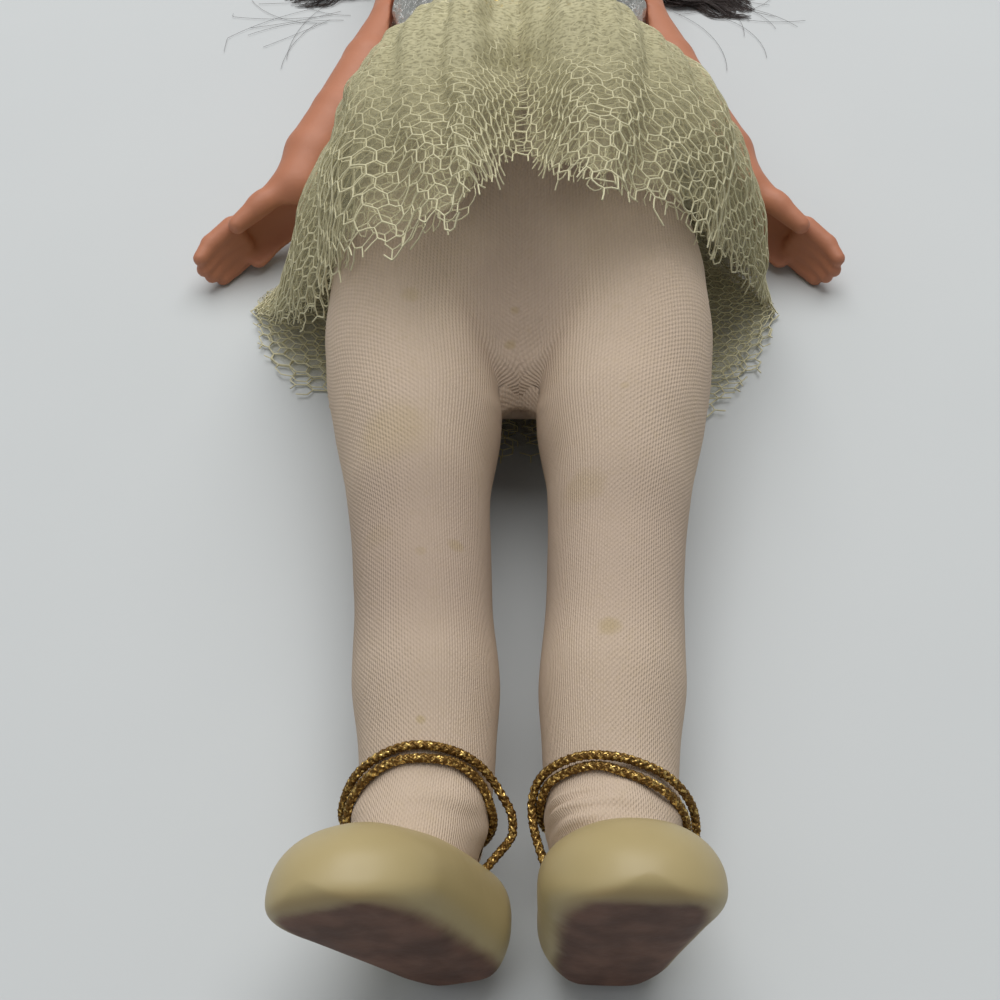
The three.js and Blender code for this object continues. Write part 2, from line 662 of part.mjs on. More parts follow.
const legHalfWidth = faceted(curveThrough([
  [0, (HIP_REACH - hipFace) / 2],
  [THIGH_DROP, THIGH_WIDTH / 2],
  [KNEE_DROP, KNEE_WIDTH / 2],
  [CALF_DROP, CALF_WIDTH / 2],
  [ANKLE_DROP, ANKLE_WIDTH / 2],
  [instepDrop, HEEL_WIDTH / 2 - SHOE_WALL - GAP - tightsOut],
]), legStations);
const legHalfDepth = faceted(curveThrough([
  [0, HIP_RADIUS - 1],
  [THIGH_DROP, THIGH_DEPTH / 2],
  [KNEE_DROP, KNEE_DEPTH / 2],
  [CALF_DROP, CALF_DEPTH / 2],
  [ANKLE_DROP, ANKLE_DEPTH / 2],
  [instepDrop, ANKLE_DEPTH / 2 + INSTEP_SWELL],
]), legStations);
const legForward = faceted(curveThrough([
  [ANKLE_DROP, 0],
  [instepDrop, INSTEP_FORWARD],
]), legStations);
const legRise = (drop) => ankleRiseFromHip * (drop / ANKLE_DROP);

function legRing(drop, offset, side, turn) {
  const toeWards = point(side * Math.sin(turn), 0, Math.cos(turn));
  const centre = point(side * legOffset(drop), -drop, legRise(drop))
    .addScaledVector(toeWards, legForward(drop));
  return oval(centre, X_AXIS, Z_AXIS, legHalfWidth(drop) + offset, legHalfDepth(drop) + offset, LIMB_SIDES);
}

function legColumn(offset, side, turn, from, to) {
  return toSolid(loft(between(legStations, from, to).map((drop) => legRing(drop, offset, side, turn))));
}

// The round top of the leg: a flat disc on the hip axis with a domed outside.
function hipDome(offset, side, inner) {
  const radius = HIP_RADIUS + offset;
  const reach = HIP_REACH + offset;
  const shoulder = reach - HIP_DOME;
  const profile = [new THREE.Vector2(0, inner), new THREE.Vector2(radius, inner)];
  spread(0, 90, 3).forEach((angle) => {
    const a = radians(angle);
    profile.push(new THREE.Vector2(radius * Math.cos(a) ** 0.7, shoulder + (reach - shoulder) * Math.sin(a)));
  });
  profile[profile.length - 1].x = 0;
  const dome = new THREE.LatheGeometry(profile, DOME_SIDES).rotateZ(-Math.PI / 2);
  return toSolid(side > 0 ? dome : dome.rotateY(Math.PI));
}

const heelBack = ANKLE_RISE - GAP; // the heel all but touches the surface
const shoeHalfWidth = curveThrough([
  [0, HEEL_WIDTH / 2],
  [SHOE_LENGTH * 0.25, HEEL_WIDTH / 2],
  [SHOE_LENGTH * 0.68, SHOE_WIDTH / 2],
  [SHOE_LENGTH, SHOE_WIDTH / 2 - 1],
]);
const shoeHeight = curveThrough([
  [0, HEEL_CUP_HEIGHT - 1],
  [SHOE_LENGTH * 0.3, HEEL_CUP_HEIGHT],
  [SHOE_LENGTH * 0.62, TOE_CAP_HEIGHT],
  [SHOE_LENGTH, TOE_CAP_HEIGHT - 1],
]);

// A foot-shaped solid with a flat bottom, inset from the outside of the slipper.
function footForm(inset, side, turn) {
  const base = inset === 0 ? 0 : SOLE_THICKNESS - SHOE_WALL + inset;
  const length = SHOE_LENGTH - 2 * inset;
  const heelEnd = HEEL_WIDTH / 2 - inset;
  const toeEnd = SHOE_WIDTH / 2 - inset;
  const toeWards = point(side * Math.sin(turn), 0, Math.cos(turn));
  const sideways = point(Math.cos(turn), 0, -side * Math.sin(turn));
  const ankle = point(side * ANKLE_OFFSET, -HIP_HEIGHT, ankleRiseFromHip);
  const heelPlaces = spread(0.5, 0, 3).map((share) => heelEnd * (1 - Math.sin(Math.PI * share)));
  const toePlaces = spread(0, 0.5, 3).map((share) => length - toeEnd * (1 - Math.sin(Math.PI * share)));
  const middlePlaces = spread(heelEnd, length - toeEnd, 3).slice(1, -1);
  const rings = [...heelPlaces, ...middlePlaces, ...toePlaces].map((place) => {
    const fromHeel = Math.max(0, 1 - place / heelEnd);
    const fromToe = Math.max(0, 1 - (length - place) / toeEnd);
    const roundOff = Math.sqrt(Math.max(0, 1 - Math.max(fromHeel, fromToe) ** 2));
    const width = Math.max(0.15, roundOff) * (shoeHalfWidth(place + inset) - inset);
    const topRound = mix(0.55, 1, fromToe > 0 ? roundOff : Math.sqrt(roundOff));
    const top = base + topRound * (shoeHeight(place + inset) - inset - base);
    const bottom = base + TOE_SPRING * fromToe ** 2;
    const middle = mix(bottom, top, 0.45);
    const edge = mix(SOLE_SHARE, 1, 0.75);
    const section = [
      ...spread(0, Math.PI, 6).map((a) => [width * Math.cos(a), middle + (top - middle) * Math.sin(a)]),
      [-edge * width, mix(bottom, middle, 0.3)],
      [-SOLE_SHARE * width, bottom],
      [SOLE_SHARE * width, bottom],
      [edge * width, mix(bottom, middle, 0.3)],
    ];
    return section.map(([across, up]) => ankle.clone()
      .addScaledVector(toeWards, place + inset - heelBack)
      .addScaledVector(sideways, across)
      .add(point(0, up, 0)));
  });
  return toSolid(loft(rings));
}

const footInset = SHOE_WALL + GAP + tightsOut;
const columnFoot = HIP_HEIGHT - footInset - SOLE_THICKNESS - 2;

// The inside of the thigh, cut back so that it turns round the pelvis.
function thighRelief(side) {
  const radius = PELVIS_RADIUS + pantyOut + GAP + 0.1;
  return bar('x', radius, side * -PELVIS_WIDTH, side * hipFace, point(0, 0, 0), RELIEF_SIDES);
}

function legForm(offset, side, turn, inner) {
  return hipDome(offset, side, inner)
    .add(legColumn(offset, side, turn, LEG_START, columnFoot))
    .add(footForm(footInset - offset, side, turn));
}

function leg(side, turn) {
  const stubEnd = PELVIS_WIDTH / 2 - BODY_WALL - GAP;
  const discEnd = stubEnd - BODY_WALL;
  return legForm(0, side, turn, hipFace)
    .subtract(thighRelief(side))
    .add(bar('x', HIP_STUB_RADIUS, side * (hipFace + 2), side * (stubEnd - 1), point(0, 0, 0)))
    .add(bar('x', HIP_DISC_RADIUS, side * discEnd, side * stubEnd, point(0, 0, 0)));
}

function tightsLeg(side, turn) {
  return legForm(tightsOut, side, turn, hipFace)
    .subtract(legForm(GAP, side, turn, hipFace - TIGHTS_OPENING))
    .subtract(thighRelief(side));
}

function shoe(side, turn) {
  const throat = legColumn(tightsOut + GAP, side, turn, CALF_DROP, columnFoot);
  return footForm(0, side, turn).subtract(footForm(SHOE_WALL, side, turn)).subtract(throat);
}

// The ankle cord: up from the heel, twice round the ankle and down over its own turns into the slipper.
function cordRoute(side, turn, slack) {
  const standOff = tightsOut + GAP + CORD_EASE + CORD_DIAMETER / 2;
  const toeWards = point(side * Math.sin(turn), 0, Math.cos(turn));
  const sideways = point(Math.cos(turn), 0, -side * Math.sin(turn));
  const onAnkle = (angle, drop, off) => {
    const level = drop - CORD_TILT * Math.cos(angle);
    const outwards = toeWards.clone().multiplyScalar(Math.cos(angle))
      .addScaledVector(sideways, Math.sin(angle));
    const halfWidth = legHalfWidth(level) + standOff + off;
    const halfDepth = legHalfDepth(level) + standOff + off;
    return point(side * legOffset(level), -level, legRise(level))
      .addScaledVector(toeWards, legForward(level))
      .addScaledVector(outwards, 1 / Math.hypot(outwards.x / halfWidth, outwards.z / halfDepth));
  };
  const start = Math.PI * 0.8;
  const steps = CORD_TURNS * STEPS_PER_TURN;
  const windings = spread(0, CORD_TURNS, steps).map((turns) => (
    onAnkle(start - 2 * Math.PI * turns, CORD_DROP - CORD_PITCH * (turns - 1), 0)
  ));
  const heelTop = -HIP_HEIGHT + HEEL_CUP_HEIGHT + GAP;
  const first = windings[0];
  const leadIn = [point(first.x, heelTop, first.z), point(first.x, mix(heelTop, first.y, 0.45), first.z)];
  const last = start - 2 * Math.PI * CORD_TURNS;
  const leadOut = spread(0.15, 1, 9).map((share) => {
    const angle = last - share * 1.25;
    const drop = mix(CORD_DROP - CORD_PITCH, HIP_HEIGHT - HEEL_CUP_HEIGHT, share ** 1.4);
    const off = slack * Math.sin(Math.PI * share) ** 0.8;
    return onAnkle(angle, drop + CORD_TILT * Math.cos(angle) * share, off);
  });
  return { leadIn, windings, leadOut };
}

function leastGap(route) {
  let least = Infinity;
  route.forEach((a, i) => route.slice(i + 4).forEach((b) => {
    least = Math.min(least, a.distanceTo(b) - CORD_DIAMETER);
  }));
  return least;
}

function roundTube(route, radius) {
  let across = X_AXIS.clone();
  const rings = route.map((place, i) => {
    const along = route[Math.min(i + 1, route.length - 1)].clone().sub(route[Math.max(i - 1, 0)]).normalize();
    across = across.addScaledVector(along, -across.dot(along)).normalize();
    return oval(place, across, along.clone().cross(across), radius, radius, CORD_SIDES);
  });
  return loft(rings);
}

function ankleCord(name, side, turn, slack) {
  const { leadIn, windings, leadOut } = cordRoute(side, turn, slack);
  const smooth = new THREE.CatmullRomCurve3([...leadIn, ...windings, ...leadOut], false, 'centripetal');
  const route = smooth.getSpacedPoints(STEPS_PER_TURN * (CORD_TURNS + 1));
  console.log(name, 'least gap to itself', leastGap(route).toFixed(2), 'mm');
  return roundTube(route, CORD_DIAMETER / 2);
}

[['left', 1], ['right', -1]].forEach(([name, side]) => {
  const turn = radians(TURNOUT[name]);
  const group = new THREE.Group();
  group.position.copy(hipPivot);
  add(group, `leg_${name}`, leg(side, turn), bodyPlastic);
  add(group, `tights_leg_${name}`, tightsLeg(side, turn), knit);
  add(group, `shoe_${name}`, shoe(side, turn), slipperVinyl);
  add(group, `ankle_cord_${name}`, ankleCord(`ankle_cord_${name}`, side, turn, CORD_SLACK[name]), goldCord);
  doll.add(group);
});

// Arms, in a frame at the shoulder joint, built for the left and mirrored by side.
const armFlat = SHOULDER_WIDTH / 2 + ARM_STANDOFF;

function limb(stations, sides) {
  const rings = stations.map(({ centre, radius }, i) => {
    const next = stations[Math.min(i + 1, stations.length - 1)].centre;
    const before = stations[Math.max(i - 1, 0)].centre;
    const along = next.clone().sub(before).normalize();
    const across = X_AXIS.clone().addScaledVector(along, -along.x).normalize();
    return oval(centre, across, along.clone().cross(across), radius, radius, sides);
  });
  return toSolid(loft(rings));
}

function leftArm() {
  const out = (x) => armFlat + x;
  const wristRise = WRIST_RISE - SEAM_RISE;
  const wrist = point(out(WRIST_OUT), -WRIST_DROP, wristRise);
  const elbow = point(out(ELBOW_OUT), -ELBOW_DROP, wristRise * ARM_BEND);
  const shoulder = point(out(UPPER_ARM_RADIUS - ARM_FLAT_CUT), 0, 0);
  const upperArm = shoulder.clone().lerp(elbow, 0.5).add(point(-MUSCLE_SHIFT, 0, MUSCLE_SHIFT));
  const forearm = elbow.clone().lerp(wrist, 0.42).add(point(MUSCLE_SHIFT, 0, 0));
  const top = shoulder.clone().add(point(0, ARM_TOP, 0));
  const stations = [
    { centre: top, radius: UPPER_ARM_RADIUS * 0.3 },
    { centre: top.clone().add(point(0, -1.2, 0)), radius: UPPER_ARM_RADIUS * 0.62 },
    { centre: shoulder.clone().add(point(0, ARM_TOP * 0.45, 0)), radius: UPPER_ARM_RADIUS * 0.95 },
    { centre: shoulder.clone().add(point(0, -ARM_SHOULDER_DROP, 0)), radius: UPPER_ARM_RADIUS },
    { centre: upperArm, radius: mix(UPPER_ARM_RADIUS, ELBOW_RADIUS, 0.55) },
    { centre: elbow, radius: ELBOW_RADIUS },
    { centre: forearm, radius: FOREARM_RADIUS },
    { centre: forearm.clone().lerp(wrist, 0.6), radius: mix(FOREARM_RADIUS, WRIST_RADIUS, 0.6) },
    { centre: wrist, radius: WRIST_RADIUS },
    { centre: wrist.clone().add(point(1.6, -2.4, -0.8)), radius: WRIST_RADIUS * 0.9 },
  ];
  const flat = block(point(out(0), -FAR, -FAR), point(FAR, FAR, FAR));
  const wall = SHOULDER_WIDTH / 2 - BODY_WALL - GAP - ARM_DISC_SETBACK;
  return limb(stations, LIMB_SIDES - 2)
    .intersect(flat)
    .add(leftHand(wrist))
    .add(bar('x', ARM_STUB_RADIUS, out(2), wall - 1, point(0, 0, 0), LIMB_SIDES))
    .add(bar('x', ARM_DISC_RADIUS, wall - BODY_WALL, wall, point(0, 0, 0), LIMB_SIDES));
}

// A cupped hand on edge, its palm towards the feet: a hollow, four fingers that curl over it and a thumb.
function leftHand(wrist) {
  const along = point(0.67, -0.69, -0.28).normalize();
  const back = point(0.63, 0.72, -0.28);
  back.addScaledVector(along, -back.dot(along)).normalize();
  const indexWards = along.clone().cross(back);
  const at = (far, wide, high) => wrist.clone()
    .addScaledVector(along, far)
    .addScaledVector(indexWards, wide)
    .addScaledVector(back, high);
  const palmWidth = curveThrough([
    [-2, 0.55],
    [HAND_LENGTH * 0.5, 0.92],
    [HAND_LENGTH, 1],
    [HAND_LENGTH + 2, 0.8],
  ]);
  const palmDrop = (far) => PALM_DROP * ease(far, 0, HAND_LENGTH * 0.6);
  const palm = toSolid(loft(spread(-2, HAND_LENGTH + 1.5, 5).map((far) => oval(
    at(far, -palmDrop(far), 0),
    indexWards,
    back,
    (palmWidth(far) * HAND_WIDTH) / 2,
    HAND_THICKNESS / 2,
    PALM_SIDES,
  ))));
  const hollow = new THREE.SphereGeometry(1, FINGER_SIDES, HOLLOW_ROWS)
    .scale(PALM_HOLLOW.along, PALM_HOLLOW.across, PALM_HOLLOW.deep)
    .applyMatrix4(new THREE.Matrix4()
      .makeBasis(along, back.clone().cross(along), back)
      .setPosition(at(HAND_LENGTH * 0.6, -PALM_DROP, -HAND_THICKNESS / 2)));
  const digit = (root, length, curl, lean) => {
    const stations = spread(0, 1, 3).map((share) => ({
      centre: at(
        root.far + length * Math.sin(curl * share) / curl,
        root.wide + lean * share,
        root.high - length * (1 - Math.cos(curl * share)) / curl,
      ),
      radius: FINGER_RADIUS * (share === 1 ? 0.55 : 1.08 - 0.16 * share),
    }));
    return limb(stations, FINGER_SIDES);
  };
  const fingers = FINGER_SHARES.map((length, i) => digit(
    { far: HAND_LENGTH - 1.5, wide: (i - 1.5) * (HAND_WIDTH / 4) * 0.96 - PALM_DROP, high: 0.4 },
    FINGER_LENGTH * length,
    FINGER_CURL,
    (i - 1.5) * FINGER_LEAN,
  ));
  const thumb = digit(
    { far: HAND_LENGTH * 0.3, wide: HAND_WIDTH * 0.2, high: -HAND_THICKNESS * 0.3 },
    THUMB_LENGTH,
    THUMB_CURL,
    THUMB_LEAN - PALM_DROP,
  );
  const cupped = palm.subtract(toSolid(hollow));
  return fingers.reduce((whole, finger) => whole.add(finger), cupped).add(thumb);
}

const arms = { left: leftArm(), right: leftArm().mirror([1, 0, 0]) };
Object.entries(arms).forEach(([name, solid]) => {
  const group = new THREE.Group();
  group.position.copy(armPivot);
  add(group, `arm_${name}`, solid, skin);
  doll.add(group);
});

// Head, in a frame at its own middle, with the face towards +Z.
const headMiddle = point(0, headHeight, HEAD_RISE);
const neckInHead = neckPivot.clone().sub(headMiddle);

const bump = (x, y, wide, high) => Math.exp(-((x / wide) ** 2) - ((y / high) ** 2));

// The head's surface in a direction, moved out by an offset: an egg with cheeks, nose, lips and chin.
function headPoint(direction, offset, features) {
  const { x, y, z } = direction;
  const jaw = 1 - mix(NAPE_TAPER, JAW_TAPER, ease(z, -0.5, 0)) * ease(-y, 0.15, 1);
  const crownDepth = 1 + CROWN_SWELL * Math.max(0, y);
  const place = point(
    x * (HEAD_WIDTH / 2) * jaw,
    y * (HEAD_HEIGHT / 2),
    z * (HEAD_DEPTH / 2) * crownDepth * mix(1, 1 - CHIN_TAPER, ease(-y, 0.4, 1)),
  );
  const normal = point(x / HEAD_WIDTH, y / HEAD_HEIGHT, z / HEAD_DEPTH).normalize();
  let out = offset;
  if (features && z > 0) {
    [NOSE, LIPS, CHIN, CHEEK, BROW].forEach((form) => {
      out += form.out * bump(Math.abs(place.x) - form.aside, place.y - form.up, form.wide, form.high);
    });
  }
  return place.addScaledVector(normal, out);
}

function headSolid(offset, columns, rows, features) {
  const rings = spread(0.02, Math.PI - 0.02, rows).map((polar) => (
    Array.from({ length: columns }, (_, i) => {
      const turn = (2 * Math.PI * i) / columns;
      const direction = point(
        Math.sin(polar) * Math.sin(turn),
        -Math.cos(polar),
        Math.sin(polar) * Math.cos(turn),
      );
      return headPoint(direction, offset, features);
    })
  ));
  return toSolid(loft(rings));
}

function ball(radius, centre) {
  const sphere = new THREE.SphereGeometry(radius, EYE_COLUMNS, EYE_ROWS);
  return toSolid(sphere.translate(centre.x, centre.y, centre.z));
}

const faceAtEye = headPoint(point(
  EYE_OFFSET / (HEAD_WIDTH / 2),
  EYE_LEVEL / (HEAD_HEIGHT / 2),
  Math.sqrt(1 - (EYE_OFFSET / (HEAD_WIDTH / 2)) ** 2),
), 0, true);
const eyeMiddle = (side) => point(side * EYE_OFFSET, EYE_LEVEL, faceAtEye.z - EYE_INSET - EYE_RADIUS);

// The almond opening of an eye, cut straight through the face.
function eyeOpening(side) {
  const middle = eyeMiddle(side);
  const [halfWidth, halfHeight] = [EYE_WIDTH / 2, EYE_HEIGHT / 2];
  const almond = oval(ORIGIN, X_AXIS, Y_AXIS, halfWidth, halfHeight, EYE_COLUMNS, EYE_SQUARENESS);
  const rings = [0, 2 * EYE_RADIUS].map((far) => almond.map((p) => (
    p.clone().add(middle).add(point(0, 0, far))
  )));
  return toSolid(loft(rings)).add(ball(EYE_RADIUS + EYE_RUN, middle));
}

const headCavity = headSolid(-HEAD_WALL, CAVITY_COLUMNS, CAVITY_ROWS, false);

function neckStem() {
  const y = neckInHead.y;
  const through = y - BODY_WALL - GAP;
  const profile = [
    [NECK_BORE_RADIUS, y + NECK_HEIGHT],
    [NECK_BORE_RADIUS, through - BODY_WALL],
    [NECK_DISC_RADIUS, through - BODY_WALL],
    [NECK_DISC_RADIUS, through],
    [NECK_STUB_RADIUS, through],
    [NECK_STUB_RADIUS, y + GAP],
    [NECK_RADIUS, y + GAP],
    [NECK_RADIUS, y + NECK_HEIGHT],
    [NECK_BORE_RADIUS, y + NECK_HEIGHT],
  ].map(([radius, height]) => new THREE.Vector2(radius, height));
  return toSolid(new THREE.LatheGeometry(profile, LIMB_SIDES).translate(0, 0, neckInHead.z));
}

function headShell() {
  const boreTop = neckInHead.y + 1.5 * NECK_HEIGHT;
  const bore = bar('y', NECK_BORE_RADIUS, neckInHead.y - NECK_HEIGHT, boreTop, neckInHead);
  return headSolid(0, HEAD_COLUMNS, HEAD_ROWS, true)
    .add(neckStem())
    .subtract(headCavity)
    .subtract(bore)
    .subtract(eyeOpening(1))
    .subtract(eyeOpening(-1));
}

const head = new THREE.Group();
head.position.copy(headMiddle);
add(head, 'head_shell', headShell(), skin);

// Rooted hair lies on the skull above a line from the forehead to the nape.
function hairCap() {
  const skull = headSolid(GAP, HEAD_COLUMNS, HEAD_ROWS, true);
  const outside = headSolid(GAP + HAIR_THICKNESS, HEAD_COLUMNS, HEAD_ROWS, true);
  const face = block(point(-FAR, -2 * FAR, -FAR), point(FAR, 0, FAR));
  const hairline = face.rotate([-HAIRLINE_TILT, 0, 0]).translate([0, HAIRLINE_UP, HAIRLINE_FORWARD]);
  const [neckBottom, neckTop] = [neckInHead.y - NECK_HEIGHT, neckInHead.y + NECK_HEIGHT];
  const neck = bar('y', NECK_RADIUS + RUN, neckBottom, neckTop, neckInHead);
  return outside.subtract(skull).subtract(hairline).subtract(neck);
}
add(head, 'hair_cap', hairCap(), hair);

// A loose lock fans out from behind the ear and lies on the surface beside the neck.
function hairLock(side) {
  const floor = -HEAD_RISE;
  const rings = spread(0, 1, 8).map((share) => {
    const thick = (LOCK_THICKNESS / 2) * mix(1, LOCK_TIP_SHARE, share) * Math.min(1, 0.55 + 3 * share);
    const wide = (LOCK_WIDTH / 2) * (0.8 + 0.4 * Math.sin(Math.PI * share)) * mix(1, 0.5, share ** 3);
    const reach = mix(LOCK_START, LOCK_REACH - thick, share ** 0.8);
    const centre = point(side * reach, mix(-1, wide - LOCK_TIP_DROP, share), floor + thick + LOCK_LIFT);
    return oval(centre, Y_AXIS, Z_AXIS, wide, thick, LOCK_SIDES);
  });
  return toSolid(loft(rings));
}
add(head, 'hair_lock_left', hairLock(1), hair);
add(head, 'hair_lock_right', hairLock(-1), hair);

// Sleep eyes: shut while the doll lies down, because the weight hangs behind the eyeball.
function cup(side) {
  const middle = eyeMiddle(side);
  const inside = EYE_RADIUS + GAP;
  const outside = inside + EYE_CUP_WALL;
  const deep = spread(0, 90, 3).map(radians);
  const profile = [
    ...deep.map((a) => new THREE.Vector2(outside * Math.sin(a), -outside * Math.cos(a))),
    new THREE.Vector2(outside, 2 * EYE_RADIUS),
    new THREE.Vector2(inside, 2 * EYE_RADIUS),
    ...deep.reverse().map((a) => new THREE.Vector2(inside * Math.sin(a), -inside * Math.cos(a))),
  ];
  profile[profile.length - 1].x = 0;
  profile[0].x = 0;
  const turned = new THREE.LatheGeometry(profile, EYE_COLUMNS).rotateX(Math.PI / 2);
  const shell = toSolid(turned.translate(middle.x, middle.y, middle.z));
  const slot = block(
    middle.clone().add(point(-LEVER_WIDTH / 2 - GAP, -FAR, -FAR)),
    middle.clone().add(point(LEVER_WIDTH / 2 + GAP, LEVER_WIDTH / 2 + GAP, -0.5)),
  );
  return shell.intersect(headSolid(-HEAD_WALL - GAP, CAVITY_COLUMNS, CAVITY_ROWS, false)).subtract(slot);
}

function eyeball(side) {
  const middle = eyeMiddle(side);
  const lever = block(
    middle.clone().add(point(-LEVER_WIDTH / 2, -LEVER_WIDTH / 2, -LEVER_LENGTH)),
    middle.clone().add(point(LEVER_WIDTH / 2, LEVER_WIDTH / 2, -EYE_RADIUS + 1)),
  );
  return ball(EYE_RADIUS, middle).add(lever);
}

function eyeWeight(side) {
  const middle = eyeMiddle(side);
  const back = middle.z - LEVER_LENGTH - GAP;
  return bar('z', WEIGHT_RADIUS, back - WEIGHT_LENGTH, back, middle);
}

// Lashes: a thin fan that stands out from the edge of the lid.
function lashes(side) {
  const inner = EYE_RADIUS + GAP;
  const fan = new THREE.Shape();
  fan.absarc(0, 0, inner + LASH_LENGTH, radians(90 - LASH_FAN), radians(90 + LASH_FAN), false);
  fan.absarc(0, 0, inner, radians(90 + LASH_FAN), radians(90 - LASH_FAN), true);
  const strip = new THREE.ExtrudeGeometry(fan, {
    depth: LASH_THICKNESS,
    bevelEnabled: false,
    curveSegments: LASH_SEGMENTS,
  });
  const middle = eyeMiddle(side);
  return toSolid(strip
    .translate(0, 0, -LASH_THICKNESS / 2)
    .rotateX(Math.PI / 2 + radians(LASH_ANGLE))
    .translate(middle.x, middle.y, middle.z));
}

[['left', 1], ['right', -1]].forEach(([name, side]) => {
  add(head, `eye_cup_${name}`, cup(side), eyeCup);
  add(head, `eyeball_${name}`, eyeball(side), eyeWhite);
  add(head, `eye_weight_${name}`, eyeWeight(side), lead);
  add(head, `eyelashes_${name}`, lashes(side), bristle);
});
doll.add(head);

export default doll;
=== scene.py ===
"""A ballerina doll that lies on its back, seen from beyond its feet."""
import math

import bpy
import numpy as np
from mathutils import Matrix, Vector


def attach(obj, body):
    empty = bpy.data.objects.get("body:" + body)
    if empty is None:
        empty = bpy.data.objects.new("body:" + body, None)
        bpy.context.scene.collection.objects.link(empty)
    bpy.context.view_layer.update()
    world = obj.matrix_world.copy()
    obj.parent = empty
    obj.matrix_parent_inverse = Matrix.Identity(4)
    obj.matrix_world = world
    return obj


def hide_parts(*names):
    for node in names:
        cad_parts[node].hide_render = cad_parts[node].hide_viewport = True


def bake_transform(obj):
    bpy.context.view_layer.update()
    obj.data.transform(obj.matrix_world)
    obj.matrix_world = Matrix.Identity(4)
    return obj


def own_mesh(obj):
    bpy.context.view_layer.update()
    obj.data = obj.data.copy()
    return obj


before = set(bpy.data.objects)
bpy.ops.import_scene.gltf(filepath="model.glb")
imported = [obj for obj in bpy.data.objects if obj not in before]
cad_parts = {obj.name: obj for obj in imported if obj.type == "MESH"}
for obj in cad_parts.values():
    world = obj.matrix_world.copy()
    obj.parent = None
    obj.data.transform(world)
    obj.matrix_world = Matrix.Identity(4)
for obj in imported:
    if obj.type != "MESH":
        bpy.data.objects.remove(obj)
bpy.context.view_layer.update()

MM = 0.001
MM_PER_METRE = 1000
HEIGHT = 300  # places below are in millimetres, with Y measured from the soles
SIDES = {"left": 1, "right": -1}
TURNOUT = {"left": math.radians(5), "right": math.radians(28)}
rng = np.random.default_rng(5)


# Numbers


def row(points):
    """Millimetres from the soles to metres in the row frame."""
    return (np.asarray(points, float) - (0, HEIGHT / 2, 0)) * MM


def through(*stops):
    """A smooth curve through (place, value) pairs, without overshoot."""
    x, y = np.array(stops, float).T
    slope = np.diff(y) / np.diff(x)
    before, after = np.r_[slope[0], slope], np.r_[slope, slope[-1]]
    same_way = before * after > 0
    tangent = np.where(same_way, 2 * before * after / np.where(same_way, before + after, 1), 0)

    def curve(at):
        at = np.clip(np.asarray(at, float), x[0], x[-1])
        i = np.clip(np.searchsorted(x, at, side="right") - 1, 0, len(x) - 2)
        span = x[i + 1] - x[i]
        t = (at - x[i]) / span
        start = (1 + 2 * t) * (1 - t) ** 2 * y[i] + span * t * (1 - t) ** 2 * tangent[i]
        return start + t * t * (3 - 2 * t) * y[i + 1] - span * t * t * (1 - t) * tangent[i + 1]

    return curve


def ease(value, low, high):
    t = np.clip((np.asarray(value, float) - low) / (high - low), 0, 1)
    return t * t * (3 - 2 * t)


def mix(a, b, t):
    return a + (b - a) * t


def unit(v):
    v = np.asarray(v, float)
    return v / np.linalg.norm(v, axis=-1, keepdims=True)


def bell(value, middle, wide):
    """One at the middle, falling smoothly to nothing on both sides."""
    return np.exp(-(((value - middle) / wide) ** 2))


def bend(value, power):
    """A sine or cosine for a section that is rounder or squarer by the power."""
    return np.sign(value) * np.abs(value) ** (2 / power)


def distances_along(path):
    """How far along a path each of its points lies."""
    return np.r_[0, np.cumsum(np.linalg.norm(np.diff(path, axis=0), axis=1))]


def keep_above(points, least):
    """Lifts points that lie lower than that over the floor."""
    points[..., 2] = np.maximum(points[..., 2], least)


def grain(points, size, seed=0):
    """Smooth noise from -1 to 1, with bumps of about that size."""
    p = np.asarray(points, float) / size + 31.7 * seed
    cell = np.floor(p)
    f = p - cell
    f = f * f * (3 - 2 * f)
    total = 0
    for corner in np.ndindex(*(2,) * p.shape[-1]):
        mixed = (cell + corner) @ np.array([127.1, 311.7, 74.7])[: p.shape[-1]]
        value = np.sin(mixed) * 43758.5453
        weight = np.prod(np.where(corner, f, 1 - f), axis=-1)
        total = total + weight * (value - np.floor(value))
    return 2 * total - 1


# Meshes


def grid(rows, columns, closed=True):
    """Quads between rows of points, joined round when closed."""
    i = np.arange(rows - 1)[:, None] * columns
    j = np.arange(columns if closed else columns - 1)[None, :]
    k = (j + 1) % columns
    return np.stack([i + j, i + k, i + columns + k, i + columns + j], -1).reshape(-1, 4)


def into_scene(name, data):
    obj = bpy.data.objects.new(name, data)
    bpy.context.scene.collection.objects.link(obj)
    return obj


def piece(name, points, faces, material, body=None, attributes=None):
    """A smooth mesh from points in millimetres."""
    mesh = bpy.data.meshes.new(name)
    parts = [np.asarray(f) for f in (faces if isinstance(faces, list) else [faces])]
    corners = np.concatenate([f.ravel() for f in parts]).astype(np.int32)
    sizes = np.concatenate([np.full(len(f), f.shape[1]) for f in parts])
    mesh.vertices.add(len(points))
    mesh.vertices.foreach_set("co", row(points).astype(np.float32).ravel())
    mesh.loops.add(len(corners))
    mesh.loops.foreach_set("vertex_index", corners)
    mesh.polygons.add(len(sizes))
    mesh.polygons.foreach_set("loop_start", (np.cumsum(sizes) - sizes).astype(np.int32))
    mesh.polygons.foreach_set("use_smooth", np.ones(len(sizes), bool))
    mesh.update(calc_edges=True)
    mesh.validate()
    for key, values in (attributes or {}).items():
        stored = mesh.attributes.new(key, "FLOAT", "POINT")
        stored.data.foreach_set("value", np.asarray(values, np.float32).ravel())
    mesh.materials.append(material)
    obj = into_scene(name, mesh)
    if body:
        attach(obj, body)
    return obj


